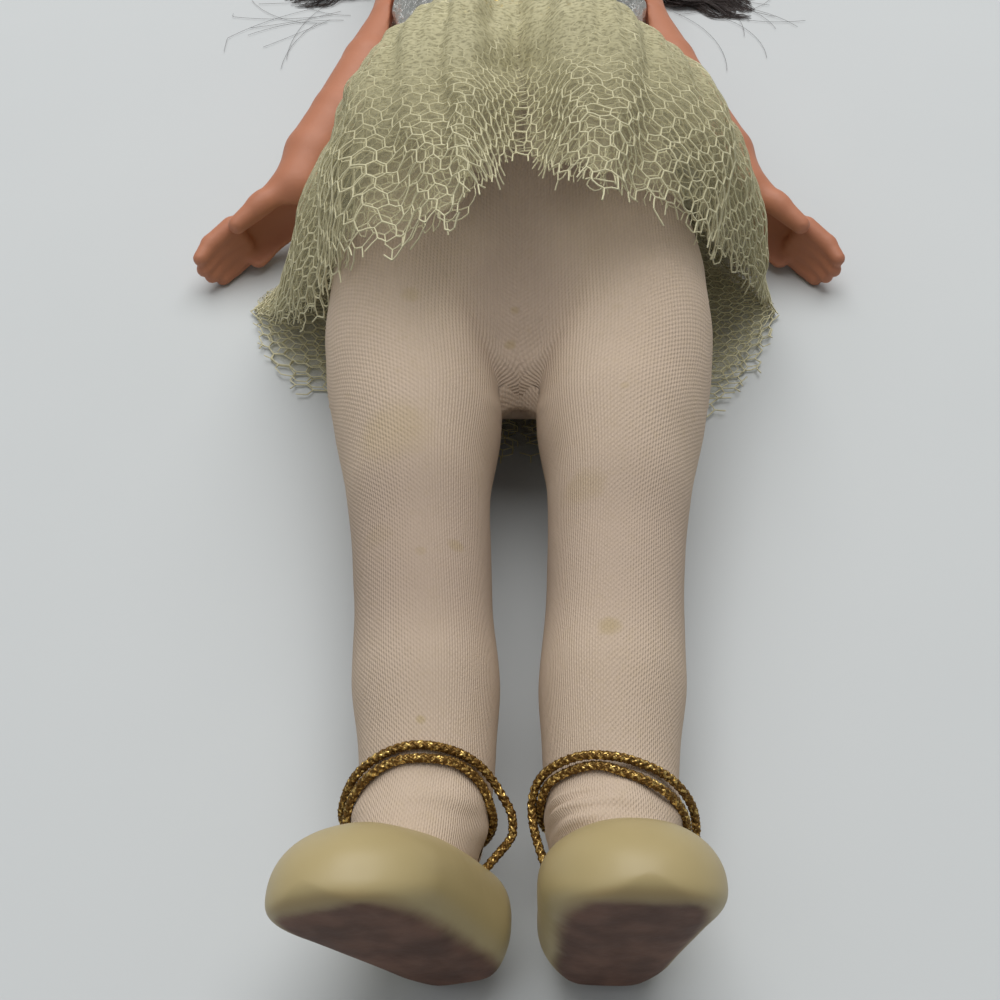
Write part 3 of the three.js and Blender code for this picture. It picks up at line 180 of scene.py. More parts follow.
def tubes(paths, radius, sides=4, up=(0.31, 0.22, 0.92)):
    """Points and quads of thin open tubes along paths, an array of (tube, place, 3)."""
    paths = np.asarray(paths, float)
    count, places = paths.shape[:2]
    along = unit(np.gradient(paths, axis=1) + 1e-9)
    across = unit(np.cross(along, np.broadcast_to(up, along.shape)))
    other = np.cross(along, across)
    turn = 2 * np.pi * np.arange(sides) / sides
    ring = across[..., None, :] * np.cos(turn)[:, None] + other[..., None, :] * np.sin(turn)[:, None]
    radius = np.broadcast_to(np.asarray(radius, float), (count, places))
    points = (paths[..., None, :] + radius[..., None, None] * ring).reshape(-1, 3)
    faces = grid(places, sides)[None] + np.arange(count)[:, None, None] * places * sides
    return points, faces.reshape(-1, 4)


def gathered(*meshes):
    """Several (points, faces) pairs as one."""
    starts = np.cumsum([0] + [len(points) for points, _ in meshes[:-1]])
    points = np.concatenate([points for points, _ in meshes])
    return points, [np.asarray(faces) + start for start, (_, faces) in zip(starts, meshes)]


def cap(ring_start, columns, centre, flip=False):
    """Triangles from a ring to a centre point."""
    j = np.arange(columns)
    k = (j + 1) % columns
    tri = np.stack([np.full(columns, centre), ring_start + j, ring_start + k], -1)
    return tri[:, [0, 2, 1]] if flip else tri


def closed_loft(rings):
    """Points and faces of rings with both ends closed."""
    count, columns = rings.shape[:2]
    points = np.concatenate([rings.reshape(-1, 3), rings[0].mean(0)[None], rings[-1].mean(0)[None]])
    last = count * columns
    return points, [
        grid(count, columns),
        cap(0, columns, last, True),
        cap(last - columns, columns, last + 1),
    ]


def surface_of(distance, low, high, step):
    """Points and quads where a distance function is zero."""
    axes = [np.arange(a, b + step, step) for a, b in zip(low, high)]
    d = distance(np.stack(np.meshgrid(*axes, indexing="ij"), -1))
    cells = tuple(n - 1 for n in d.shape)
    total, count = np.zeros(cells + (3,)), np.zeros(cells)
    for corner in np.ndindex(2, 2, 2):
        for axis in range(3):
            if corner[axis]:
                continue
            near = d[tuple(slice(c, n + c) for c, n in zip(corner, cells))]
            end = tuple(c + (i == axis) for i, c in enumerate(corner))
            far = d[tuple(slice(c, n + c) for c, n in zip(end, cells))]
            crossed = (near < 0) != (far < 0)
            place = np.zeros(cells + (3,)) + corner
            place[..., axis] = near / np.where(crossed, near - far, 1)
            total += place * crossed[..., None]
            count += crossed
    used = count > 0
    index = np.full(cells, -1)
    index[used] = np.arange(used.sum())
    points = np.array(low) + step * (np.argwhere(used) + total[used] / count[used][:, None])
    faces = []
    for axis in range(3):
        order = (axis, (axis + 1) % 3, (axis + 2) % 3)
        inside, number = (d < 0).transpose(order), index.transpose(order)
        crossed = (inside[:-1] != inside[1:])[:, 1:-1, 1:-1]
        outwards = inside[:-1, 1:-1, 1:-1][crossed]
        around = [number[:, :-1, :-1], number[:, 1:, :-1], number[:, 1:, 1:], number[:, :-1, 1:]]
        quads = np.stack([n[crossed] for n in around], -1)
        faces.append(np.where(outwards[:, None], quads, quads[:, ::-1]))
    return points, np.concatenate(faces)


def cone(p, a, b, start, end):
    """Distance to a rounded limb between two points, with a radius at each."""
    a, b = np.asarray(a, float), np.asarray(b, float)
    along = b - a
    t = np.clip(((p - a) @ along) / (along @ along), 0, 1)
    return np.linalg.norm(p - a - t[..., None] * along, axis=-1) - mix(start, end, t)


def egg(p, centre, radii, axes=np.eye(3)):
    """About how far a place is outside an egg with three radii."""
    q = (p - np.asarray(centre)) @ np.asarray(axes).T / np.asarray(radii)
    k0 = np.linalg.norm(q, axis=-1)
    k1 = np.linalg.norm(q / np.asarray(radii), axis=-1)
    return k0 * (k0 - 1) / np.maximum(k1, 1e-9)


def melt(a, b, k):
    """Two shapes run together, over about that width."""
    h = np.clip(0.5 + 0.5 * (b - a) / k, 0, 1)
    return mix(b, a, h) - k * h * (1 - h)


def carve(a, b, k):
    """The first shape without the second, with a softened edge."""
    return -melt(-a, b, k)


# Materials


class Value:
    """A shader value that can be reckoned with."""

    def __init__(self, surface, socket):
        self.surface, self.socket = surface, socket

    def math(self, operation, *others):
        return self.surface.node("ShaderNodeMath", dict(enumerate((self, *others))), operation=operation)

    def __add__(self, other):
        return self.math("ADD", other)

    def __sub__(self, other):
        return self.math("SUBTRACT", other)

    def __rsub__(self, other):
        return (self * -1) + other

    def __mul__(self, other):
        return self.math("MULTIPLY", other)

    def __truediv__(self, other):
        return self.math("DIVIDE", other)

    __radd__, __rmul__ = __add__, __mul__

    def wave(self):
        return self.math("SINE")

    def limit(self):
        return self.math("MINIMUM", 1).math("MAXIMUM", 0)

    def step(self, low, high):
        return self.surface.node(
            "ShaderNodeMapRange", {0: self, 1: low, 2: high, 3: 0.0, 4: 1.0}, interpolation_type="SMOOTHSTEP"
        )


class Surface:
    """A principled material and the nodes that vary it."""

    def __init__(self, name, **constants):
        self.material = bpy.data.materials.new(name)
        self.material.use_nodes = True
        self.tree = self.material.node_tree
        self.shader = self.tree.nodes["Principled BSDF"]
        for key, value in constants.items():
            self.shader.inputs[socket_name(key)].default_value = value

    def node(self, kind, inputs, output=0, **settings):
        node = self.tree.nodes.new(kind)
        for key, value in settings.items():
            setattr(node, key, value)
        for key, value in inputs.items():
            if isinstance(value, Value):
                self.tree.links.new(value.socket, node.inputs[key])
            else:
                node.inputs[key].default_value = value
        return Value(self, node.outputs[output])

    def place(self):
        return self.node("ShaderNodeTexCoord", {}, "Object")

    def axis(self, name):
        return self.node("ShaderNodeSeparateXYZ", {0: self.place()}, name)

    def stored(self, name):
        return self.node("ShaderNodeAttribute", {}, "Fac", attribute_name=name)

    def noise(self, size, detail, stretch=None):
        where = self.place()
        if stretch:
            where = self.node("ShaderNodeVectorMath", {0: where, 1: stretch}, operation="MULTIPLY")
        inputs = {"Vector": where, "Scale": 1 / (size * MM), "Detail": detail}
        return self.node("ShaderNodeTexNoise", inputs, "Fac")

    def colour(self, factor, low, high):
        return self.node(
            "ShaderNodeMix", {0: factor, 6: as_colour(low), 7: as_colour(high)}, 2, data_type="RGBA"
        )

    def bump(self, height, depth, strength=1.0):
        return self.node(
            "ShaderNodeBump", {"Height": height, "Distance": depth * MM, "Strength": strength}, "Normal"
        )

    def give(self, **inputs):
        for key, value in inputs.items():
            self.tree.links.new(value.socket, self.shader.inputs[socket_name(key)])
        return self.material

    def spot(self, x, y, wide, high):
        """One inside a soft oval round a place, seen from above, and nothing outside it."""
        across = (self.axis("X") * MM_PER_METRE - x) / wide
        along = (self.axis("Y") * MM_PER_METRE + HEIGHT / 2 - y) / high
        return 1 - (across * across + along * along).limit()


def socket_name(key):
    return key.replace("_", " ").title().replace("Ior", "IOR")


def as_colour(value):
    return (*value, 1) if isinstance(value, tuple) else value


# Painted shade on the tights: darker spots in the recess below the crotch, at both knees and on the belly
# under the net, and a weaker one lower on a shin
PAINTED_SHADE_SPOTS = [  # across, up from the soles, half width, half height, strength
    (0, 106, 13, 18, 0.5),
    (-16, 60, 24, 20, 0.5),
    (17, 60, 24, 20, 0.35),
    (-15, 44, 20, 16, 0.15),
    (0, 130, 18, 16, 0.5),
]
STAINS = [  # across, up from the soles, half width, strength
    (-19.5, 77, 7.5, 0.3),
    (-1.5, 98.6, 1.3, 0.75),
    (-0.7, 104.2, 1.1, 0.7),
    (-9.8, 59, 1.6, 0.7),
    (-15, 57, 1.2, 0.4),
    (13.4, 44.4, 2.3, 0.6),
    (-14, 30.8, 1.0, 0.6),
    (10.2, 69, 4.5, 0.3),
    (-22, 61, 3.0, 0.25),
    (-18, 101, 2.4, 0.3),
    (17, 84, 1.0, 0.3),
]
COURSE = 0.8  # height of a row of stitches


def knit_material():
    s = Surface("ribbed_knit", roughness=0.92, specular_ior_level=0.15)
    wale = s.stored("wale")
    ribs = (wale * (2 * math.pi)).wave() * 0.5 + 0.5
    courses = (s.stored("course") * (2 * math.pi / COURSE) + wale * math.pi).wave() * 0.5 + 0.5
    fuzz = s.noise(0.35, 3.0)
    shade = s.noise(26.0, 3.0)
    colour = s.colour(shade, (0.55, 0.43, 0.325), (0.64, 0.515, 0.4))
    # Painted shade in the grooves: where the ribs and rows of stitches sink, the colour is mixed towards a
    # dark brown
    stitches = (ribs * 0.45 + courses * 0.3 + fuzz * 0.5).limit()
    colour = s.colour(stitches, s.colour(0.24, colour, (0.3, 0.22, 0.17)), colour)
    for x, y, wide, strength in STAINS:
        edge = (s.spot(x, y, wide, wide * 0.8) + (s.noise(wide, 3.0) - 0.5) * 0.9).step(0.0, 1.0)
        colour = s.colour(edge * strength * 0.8, colour, (0.42, 0.32, 0.13))
    # Painted shade: the spots above darken the crotch recess, the knees and the belly under the net
    for x, y, wide, high, strength in PAINTED_SHADE_SPOTS:
        colour = s.colour(s.spot(x, y, wide, high).step(0.0, 1.0) * strength, colour, (0.3, 0.225, 0.18))
    height = ribs * 0.5 + courses * 0.3 + fuzz * 0.6
    return s.give(base_color=colour, normal=s.bump(height, 0.15))


def net_material():
    """Nylon thread, and between the threads a haze as dense as the stored number says."""
    s = Surface("nylon_net", roughness=0.7, specular_ior_level=0.2)
    haze = s.stored("haze")
    hazy = haze.step(0.0, 0.02)
    thread = s.colour(s.noise(9.0, 3.0), (0.58, 0.535, 0.34), (0.76, 0.715, 0.49))
    # The haze is darker than the thread: the fibres' own colour with painted shade of the inner layers of
    # net
    fibre_in_shade = s.colour(s.noise(5.0, 4.0), (0.49, 0.45, 0.268), (0.65, 0.605, 0.385))
    holes = s.noise(0.9, 2.0, (1.0, 1.7, 1.0)).step(0.36, 0.58)
    clear = hazy - haze * (holes * 0.6 + 0.6)
    return s.give(base_color=s.colour(hazy, thread, fibre_in_shade), alpha=(1 - clear).limit())


def slipper_material():
    s = Surface("slipper_vinyl", specular_ior_level=0.4)
    colour = s.colour(s.noise(14.0, 3.0), (0.37, 0.29, 0.135), (0.465, 0.375, 0.19))
    # Darker towards the edge of the sole
    sole_edge_darkening = (s.stored("low") + (s.noise(7.0, 3.0) - 0.5) * 0.5).step(0.2, 1.0)
    colour = s.colour(sole_edge_darkening * 0.5, colour, (0.27, 0.18, 0.08))
    # The sole is worn and scuffed, and painted darker still as shade on the side that faces away from the
    # lamps
    worn_sole_and_shade = s.colour(s.noise(7.0, 4.0).step(0.3, 0.7), (0.085, 0.037, 0.022), (0.17, 0.082, 0.052))
    sole = (s.stored("sole") + (s.noise(3.0, 3.0) - 0.5) * 0.3).step(0.2, 1.0)
    rough = sole * 0.25 + s.noise(3.0, 3.0) * 0.16 + 0.34
    height = s.noise(0.9, 4.0) * sole + s.noise(2.2, 2.0) * 0.3
    return s.give(base_color=s.colour(sole, colour, worn_sole_and_shade), roughness=rough, normal=s.bump(height, 0.1, 0.6))


def metal_thread_material(name, dark, bright, rough):
    s = Surface(name, metallic=0.85)
    glint = s.noise(0.6, 2.0).step(0.48, 0.68)
    return s.give(
        base_color=s.colour(glint, dark, bright),
        roughness=(1 - glint) * 0.3 + rough,
        normal=s.bump(s.noise(0.35, 2.0), 0.06),
    )


LAME_THREAD = 0.5


def lame_material():
    s = Surface("silver_lame", metallic=0.9)
    crinkle = s.noise(3.2, 4.0)
    spark = s.noise(0.8, 2.0).step(0.52, 0.6)
    weave = (s.axis("Y") * (2 * math.pi / (LAME_THREAD * MM))).wave() * 0.5 + 0.5
    return s.give(
        base_color=s.colour(spark, (0.5, 0.5, 0.47), (0.9, 0.89, 0.85)),
        roughness=(1 - spark) * 0.25 + 0.14,
        normal=s.bump(crinkle + weave * 0.12 + spark * 0.2, 0.7),
    )


def skin_material(name, low, high):
    s = Surface(name, specular_ior_level=0.35)
    colour = s.colour(s.noise(12.0, 3.0), low, high)
    return s, colour


def finish_skin(s, colour):
    return s.give(
        base_color=colour,
        roughness=s.noise(2.5, 3.0) * 0.2 + 0.42,
        normal=s.bump(s.noise(0.6, 3.0), 0.05, 0.5),
    )


def plain_skin():
    s, colour = skin_material("soft_vinyl", (0.42, 0.165, 0.09), (0.51, 0.212, 0.122))
    return finish_skin(s, colour)


def face_skin():
    s, colour = skin_material("painted_vinyl", (0.64, 0.3, 0.19), (0.72, 0.36, 0.24))
    facing = s.axis("Z").step(0.045, 0.052)
    for side in (1, -1):
        blush = s.spot(side * 14, HEAD_MIDDLE[1] - 10, 9, 8).step(0, 1) * 0.4
        colour = s.colour(blush * facing, colour, (0.62, 0.16, 0.12))
        arch = s.spot(side * 10.5, HEAD_MIDDLE[1] + 6.4, 6.5, 3.2).step(0.02, 0.1)
        under = s.spot(side * 10.5, HEAD_MIDDLE[1] + 5.2, 7.0, 3.4).step(0.02, 0.1)
        colour = s.colour((arch - under).limit() * facing * 0.8, colour, (0.1, 0.05, 0.03))
    lips = s.spot(0, HEAD_MIDDLE[1] - 15.6, 5.2, 2.3).step(0.1, 0.3)
    colour = s.colour(lips * facing, colour, (0.48, 0.06, 0.07))
    return finish_skin(s, colour)


def hair_material():
    s = Surface("dark_hair", roughness=0.4, specular_ior_level=0.5)
    return s.give(base_color=s.colour(s.noise(2.0, 2.0), (0.012, 0.007, 0.006), (0.05, 0.032, 0.026)))


def eye_material():
    s = Surface("sleep_eye", roughness=0.12, coat_weight=0.6)
    gaze = s.stored("gaze")
    colour = s.colour(gaze.step(0.43, 0.46), (0.13, 0.06, 0.03), (0.85, 0.84, 0.82))
    colour = s.colour(gaze.step(0.19, 0.21), (0.01, 0.01, 0.01), colour)
    colour = s.colour(s.stored("lid").step(0.48, 0.52), colour, (0.6, 0.28, 0.19))
    return s.give(base_color=colour)


def plain_material(name, low, high, size, rough, metallic=0.0):
    s = Surface(name, metallic=metallic)
    return s.give(
        base_color=s.colour(s.noise(size, 3.0), low, high),
        roughness=s.noise(size * 0.5, 3.0) * 0.2 + rough,
        normal=s.bump(s.noise(size * 0.2, 3.0), 0.06),
    )


HEAD_MIDDLE = np.array([0, 264.3, 31.5])
knit = knit_material()
net = net_material()
slipper = slipper_material()
gold_cord = metal_thread_material("gold_cord", (0.17, 0.09, 0.022), (0.85, 0.6, 0.2), 0.22)
gold_braid = metal_thread_material("gold_braid", (0.36, 0.22, 0.04), (0.9, 0.66, 0.22), 0.18)
lame = lame_material()
skin = plain_skin()
face = face_skin()
hair = hair_material()
eye_paint = eye_material()
steel = plain_material("press_stud", (0.5, 0.5, 0.51), (0.65, 0.65, 0.66), 3.0, 0.2, 1.0)
tape = plain_material("woven_tape", (0.55, 0.5, 0.36), (0.65, 0.6, 0.46), 1.0, 0.8)
cup_plastic = plain_material("eye_cup", (0.75, 0.73, 0.68), (0.82, 0.8, 0.76), 4.0, 0.4)
lead = plain_material("lead_weight", (0.16, 0.165, 0.175), (0.24, 0.245, 0.25), 2.0, 0.5, 0.8)


# Body

BODY_TOP = 229
BODY_WIDTH = through((133, 30), (150, 29), (174, 22.5), (203, 26.5), (216, 28.2), (222.5, 27.2), (229, 15))
BODY_FRONT = through((133, 43), (150, 46), (174, 43), (203, 45), (216, 41), (229, 34.5))
BODY_BACK = through((133, 4.4), (150, 5), (174, 8), (203, 4.6), (216, 5.2), (229, 13.5))
BODY_SQUARENESS = 2.4
SEAM_RISE = 24  # where the front and back halves meet, and the middle of the neck
CLOTH_OFF = 1.7  # bodice and straps off the body
BODICE_COLUMNS, BODICE_ROWS = 261, 70
STRAP_COLUMNS = 13
STRAP_ACROSS, STRAP_HALF_WIDTH = 12.6, 2.3
BRAID_HEIGHT, BRAID_OFF = 177.2, 3.4


def body_ring(height, offset, turn):
    """Points round the body at each height, at each angle: 90 degrees is the front."""
    height, turn = np.broadcast_arrays(np.asarray(height, float)[..., None], turn)
    front, back = BODY_FRONT(height) + offset, BODY_BACK(height) - offset
    return np.stack([
        (BODY_WIDTH(height) + offset) * bend(np.cos(turn), BODY_SQUARENESS),
        height,
        (front + back) / 2 + (front - back) / 2 * bend(np.sin(turn), BODY_SQUARENESS),
    ], -1)


def round_turn(columns):
    return 2 * np.pi * np.arange(columns) / columns


def torso():
    rounded = BODY_TOP - 5 * np.cos(np.linspace(0, np.pi / 2, 14)[1:])
    rings = body_ring(np.r_[np.linspace(140, 224, 60), rounded], 0, round_turn(120))
    seam = bell(rings[..., 2], SEAM_RISE, 0.5)
    rings[..., 0] -= 0.25 * seam * np.sign(rings[..., 0])
    points, faces = closed_loft(rings)
    obj = piece("torso_skin", points, faces, skin, "torso")
    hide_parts("torso_front", "torso_back")


def bodice():
    heights = np.linspace(176.4, 204, BODICE_ROWS)
    turn = -np.pi / 2 + 0.012 + (2 * np.pi - 0.024) * np.arange(BODICE_COLUMNS) / (BODICE_COLUMNS - 1)
    rings = body_ring(heights, CLOTH_OFF, turn)
    flat = np.stack([turn * 26 + 0 * heights[:, None], heights[:, None] + 0 * turn], -1)
    crease = 0.34 * grain(flat, 4.2, 1) + 0.2 * grain(flat, 1.7, 2)
    rolled = 0.5 * bell(heights, 203.2, 0.8)[:, None]
    rings = rings + outwards(rings, turn) * (crease + rolled)[..., None]
    faces = grid(BODICE_ROWS, BODICE_COLUMNS, False)
    obj = piece("bodice_lame", rings.reshape(-1, 3), faces, lame, "torso")
    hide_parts("bodice")


def outwards(rings, turn):
    way = np.stack([np.cos(turn), 0 * turn, np.sin(turn)], -1)
    return np.broadcast_to(way, rings.shape)


def strap(name):
    """A band over the shoulder: up the front, across the top and down the back."""
    x = SIDES[name] * STRAP_ACROSS + np.linspace(-STRAP_HALF_WIDTH, STRAP_HALF_WIDTH, STRAP_COLUMNS)
    levels = np.r_[np.linspace(203, 226, 30), 228.2]

    def depth(height, sign):
        front, back = BODY_FRONT(height) + CLOTH_OFF, BODY_BACK(height) - CLOTH_OFF
        aside = np.clip(np.abs(x) / (BODY_WIDTH(height) + CLOTH_OFF), 0, 0.98)
        share = (1 - aside**BODY_SQUARENESS) ** (1 / BODY_SQUARENESS)
        return (front + back) / 2 + sign * (front - back) / 2 * share

    def across(height, z):
        return np.stack([x, np.full(STRAP_COLUMNS, height), z], -1)

    front, back = depth(BODY_TOP, 1), depth(BODY_TOP, -1)
    rows = [across(h, depth(h, 1)) for h in levels]
    rows += [across(230.6, mix(front, back, t)) for t in np.linspace(0, 1, 9)[1:-1]]
    rows += [across(h, depth(h, -1)) for h in levels[::-1]]
    rows = np.array(rows)
    rows[..., 2] += 0.12 * grain(rows, 2.5, 3)
    faces = grid(len(rows), STRAP_COLUMNS, False)
    obj = piece(f"strap_{name}_lame", rows.reshape(-1, 3), faces, lame, "torso")
    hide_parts(f"strap_{name}")


def waist_braid():
    turn = np.linspace(0, 2 * np.pi, 721)
    phase = turn * 24
    strands = []
    for k in range(3):
        p = phase + 2 * np.pi * k / 3
        ring = body_ring([BRAID_HEIGHT], BRAID_OFF, turn)[0]
        ring = ring + outwards(ring[None], turn)[0] * (0.55 * np.sin(2 * p))[:, None]
        ring[:, 1] += 1.55 * np.sin(p)
        strands.append(ring)
    points, faces = tubes(strands, 0.85, 8)
    obj = piece("waist_braid_plait", points, faces, gold_braid, "torso")
    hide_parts("waist_braid")


# Tights

LEG_ACROSS = through(
    (10, 13.4), (26, 13.6), (42, 14.4), (54, 15.2), (64, 15.9), (75, 16.9), (88, 17.6),
    (98, 18.6), (109, 20), (120, 20), (133, 18), (150, 15), (185, 13),
)
LEG_HALF_WIDTH = through(
    (10, 8.4), (14, 9), (20, 9.8), (26, 10), (31, 10.3), (42, 11.4), (54, 11), (64, 11.3), (75, 12.1),
    (88, 14.5), (98, 15.4), (109, 14.8), (120, 14.4), (133, 13), (150, 10), (185, 3),
)
LEG_HALF_DEPTH = through(
    (10, 11.4), (26, 10.2), (43, 12.2), (62, 12), (75, 14.2), (88, 17.2), (100, 18), (113, 18.3),
    (133, 16), (150, 11), (185, 3),
)
LEG_RISE = through((10, 12.8), (26, 14.5), (62, 18.4), (88, 21.3), (113, 24), (185, 24))
LEG_FORWARD = through((10, 3.6), (13, 3), (26, 0))
HIPS_WIDTH = through(
    (92, 15), (100, 20), (106, 24), (113, 28), (122, 31), (133, 31.6), (150, 30.2), (174, 23.7), (185, 24.2),
)
HIPS_FRONT = through(
    (92, 23.1), (93.5, 27), (96, 30), (99, 31.8), (103, 33.8), (108, 35.6), (113, 37.4), (120, 40.6),
    (133, 45.3), (150, 47.2), (174, 44.2), (185, 44.4),
)
HIPS_BACK = through(
    (92, 22.9), (93.5, 18.5), (96, 15), (99, 11.5), (104, 7.5), (113, 4.6), (133, 3.4), (150, 4), (174, 7),
    (185, 6.4),
)
CROTCH = 92
SOFTNESS = through((88, 0.5), (92, 0.8), (100, 3), (110, 6), (122, 6.5), (140, 4), (150, 1))
WALES = 176  # round a leg
WALES_PER_MM = 1.75
LEG_COLUMNS = 201
GUSSET_HALF_WIDTH = 3.4
FOLDS = [  # start, end, lift
    ((0, 92.5), (7, 100), 0.9),
    ((0, 92.5), (-6, 99.5), 0.8),
    ((1, 92), (5, 87), 0.4),
    ((-1, 92), (-5, 87), 0.4),
]


def oval(x, z, wide, deep, power):
    """About how far a place is outside an oval, rounder or squarer by the power."""
    a, b = np.abs(x / wide), np.abs(z / deep)
    level = np.maximum((a**power + b**power) ** (1 / power), 1e-6)
    slope = np.hypot(a ** (power - 1) / wide, b ** (power - 1) / deep) * level ** (1 - power)
    return (level - 1) / np.maximum(slope, 1e-6)


def outside_tights(x, z, height):
    """About how far a place is outside the tights: two legs that run softly into the hips."""
    across, up = LEG_ACROSS(height), z - LEG_RISE(height)
    wide, deep, soft = LEG_HALF_WIDTH(height), LEG_HALF_DEPTH(height), SOFTNESS(height)
    legs = melt(oval(x - across, up, wide, deep, 2), oval(x + across, up, wide, deep, 2), soft)
    front, back = HIPS_FRONT(height), HIPS_BACK(height)
    hips = oval(x, z - (front + back) / 2, HIPS_WIDTH(height), (front - back) / 2, 2.6)
    return melt(legs, np.where(height >= CROTCH, hips, 99), soft)


def seam_heights(heights):
    """The front and back of the tights where the two halves meet, and whether they do."""
    z = np.linspace(-4, 60, 641)
    away = outside_tights(0 * z, z, heights[:, None])
    inside = away < 0
    rows, end = np.arange(len(heights)), len(z) - 1
    first, last = inside.argmax(1), end - inside[:, ::-1].argmax(1)

    def crossing(i, j):
        return mix(z[i], z[j], away[rows, i] / (away[rows, i] - away[rows, j] + 1e-9))

    front = crossing(last, np.minimum(last + 1, end))
    back = crossing(first, np.maximum(first - 1, 0))
    return front, back, inside.any(1)


def leg_surface(heights, columns):
    """Heights, angles round the middle of one leg, and radii, from the front seam round to the back one."""
    front, back, meets = seam_heights(heights)
    across, rise = LEG_ACROSS(heights), LEG_RISE(heights)
    start = np.where(meets, np.arctan2(np.maximum(front - rise, 0), -across), np.pi)
    end = -np.where(meets, np.arctan2(np.maximum(rise - back, 0), -across), np.pi)
    turn = np.clip(np.linspace(np.pi, -np.pi, columns), end[:, None], start[:, None])
    height = np.broadcast_to(heights[:, None], turn.shape)
    c, s = np.cos(turn), np.sin(turn)
    wall = np.minimum(60, across[:, None] / np.maximum(-c, 0.2))

    def away(radius):
        return outside_tights(across[:, None] + radius * c, rise[:, None] + radius * s, height)

    low = np.zeros_like(turn)
    for share in np.linspace(0, 1, 60):
        low = np.where(away(wall * share) < 0, wall * share, low)
    high = np.minimum(low + wall / 59, wall)
    for _ in range(12):
        middle = (low + high) / 2
        inside = away(middle) < 0
        low, high = np.where(inside, middle, low), np.where(inside, high, middle)
    at_seam = meets[:, None] & ((turn == start[:, None]) | (turn == end[:, None]))
    return height, turn, np.where(at_seam, wall, low)


def ridge(points, start, end, wide):
    """One on a line seen from above, and nothing past its width."""
    a, b = np.array(start, float), np.array(end, float)
    p = points[..., :2] - a
    along = b - a
    t = np.clip((p @ along) / (along @ along), 0, 1)
    away = np.linalg.norm(p - t[..., None] * along, axis=-1)
    return bell(away, 0, wide) * (1 - 0.8 * t)


def crotch_gusset(side):
    """Half of the small patch under the crotch, a little below the seam and let into the thigh."""
    rows, columns = 31, 9
    heights = np.linspace(CROTCH + 0.05, CROTCH + 1.5, 40)
    front, back, _ = seam_heights(heights)
    z = np.linspace(back[-1], front[-1], rows)
    seam = np.interp(z, np.r_[back[::-1], front], np.r_[heights[::-1], heights])
    far = np.abs(np.linspace(-1, 1, rows)) ** 2
    x = np.linspace(0, GUSSET_HALF_WIDTH, columns)
    height = (seam - 0.25 + 0.8 * far)[:, None] - 1.5 * (x / GUSSET_HALF_WIDTH) ** 2
    points = np.stack(np.broadcast_arrays(side * x, height, z[:, None]), -1)
    return points.reshape(-1, 3), grid(rows, columns, False)


def tights(name):
    side, way = SIDES[name], TURNOUT[name]
    heights = np.r_[np.linspace(10, 88, 131)[:-1], np.linspace(88, 108, 81)[:-1], np.linspace(108, 183, 90)]
    height, turn, radius = leg_surface(heights, LEG_COLUMNS)
    forward = LEG_FORWARD(height)
    x = LEG_ACROSS(height) + radius * np.cos(turn) + np.sin(way) * forward
    z = LEG_RISE(height) + radius * np.sin(turn) + np.cos(way) * forward
    points = np.stack([side * x, height, z], -1)
    at_ankle = bell(height, 19, 4.5)
    creases = grain(np.stack([turn * 10, height * 2.4], -1), 6, 4 + side)
    rumple = at_ankle * 0.55 * creases + 0.1 * grain(points, 7, 8)
    if name == "left":
        bunch = bell(height, 18.5, 3) * bell(turn, 2.3, 0.5)
        rumple = rumple + bunch * (1.6 + 0.8 * np.sin(height * 2.6 + turn * 2))
    for start, end, lift in FOLDS:
        rumple = rumple + lift * ridge(points, start, end, 0.8) * (z > 24)
    rumple = rumple * ease(np.abs(x), 0, 1.2)
    points = points + rumple[..., None] * np.stack([side * np.cos(turn), 0 * turn, np.sin(turn)], -1)
    by_angle = WALES * turn / (2 * np.pi)
    by_place = np.sign(turn) * (WALES / 4 - WALES_PER_MM * (x - 18.6))
    straight = ease(np.abs(np.sin(turn)), 0.15, 0.6) * ease(height, 84, 104)
    points[..., 0] *= np.abs(points[..., 0]) > 0.005
    points = points.reshape(-1, 3)
    faces = grid(len(heights), LEG_COLUMNS, False)
    faces = faces[points[faces][..., 0].any(1)]
    gusset, gusset_faces = crotch_gusset(side)
    wale = mix(by_angle, by_place, straight)
    stitches = {
        "wale": np.r_[wale.ravel(), gusset[:, 0] * WALES_PER_MM],
        "course": np.r_[height.ravel(), gusset[:, 2]],
    }
    both = gathered((points, faces), (gusset, gusset_faces))
    obj = piece(f"tights_{name}", *both, knit, attributes=stitches)
    row((0, 95, 24))
    row((side * 17.6, 82, 24))
    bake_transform(obj)
    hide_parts(f"tights_leg_{name}", f"leg_{name}", "tights_panty")


# Slippers

SHOE_LENGTH = 41.8
HEEL_BACK = 14.2
SHOE_WIDTH = through((0, 9.6), (11, 10.4), (30, 12), (43, 11.4))
SHOE_HEIGHT = through((0, 15.4), (13, 15.4), (22, 14.8), (30, 13.4), (36, 12.3), (43, 11.2))
TOE_SPRING = 0.2
UPWARDS = np.array([0, 1, 0])  # from the sole towards the ankle


def foot_frame(name):
    """The place under the ankle, the way to the toe and the way across the foot."""
    side, way = SIDES[name], TURNOUT[name]
    ankle = np.array([side * 13.2, 0, 14.5])
    toe_wards = np.array([side * np.sin(way), 0, np.cos(way)])
    return ankle, toe_wards, np.array([np.cos(way), 0, -side * np.sin(way)])


def drawn_in(place, heel, toe):
    """A share that falls to nothing round both ends of the slipper."""
    near = np.maximum(np.maximum(0, 1 - place / heel), np.maximum(0, 1 - (SHOE_LENGTH - place) / toe))
    return np.sqrt(np.maximum(1 - near**2, 0.0004))


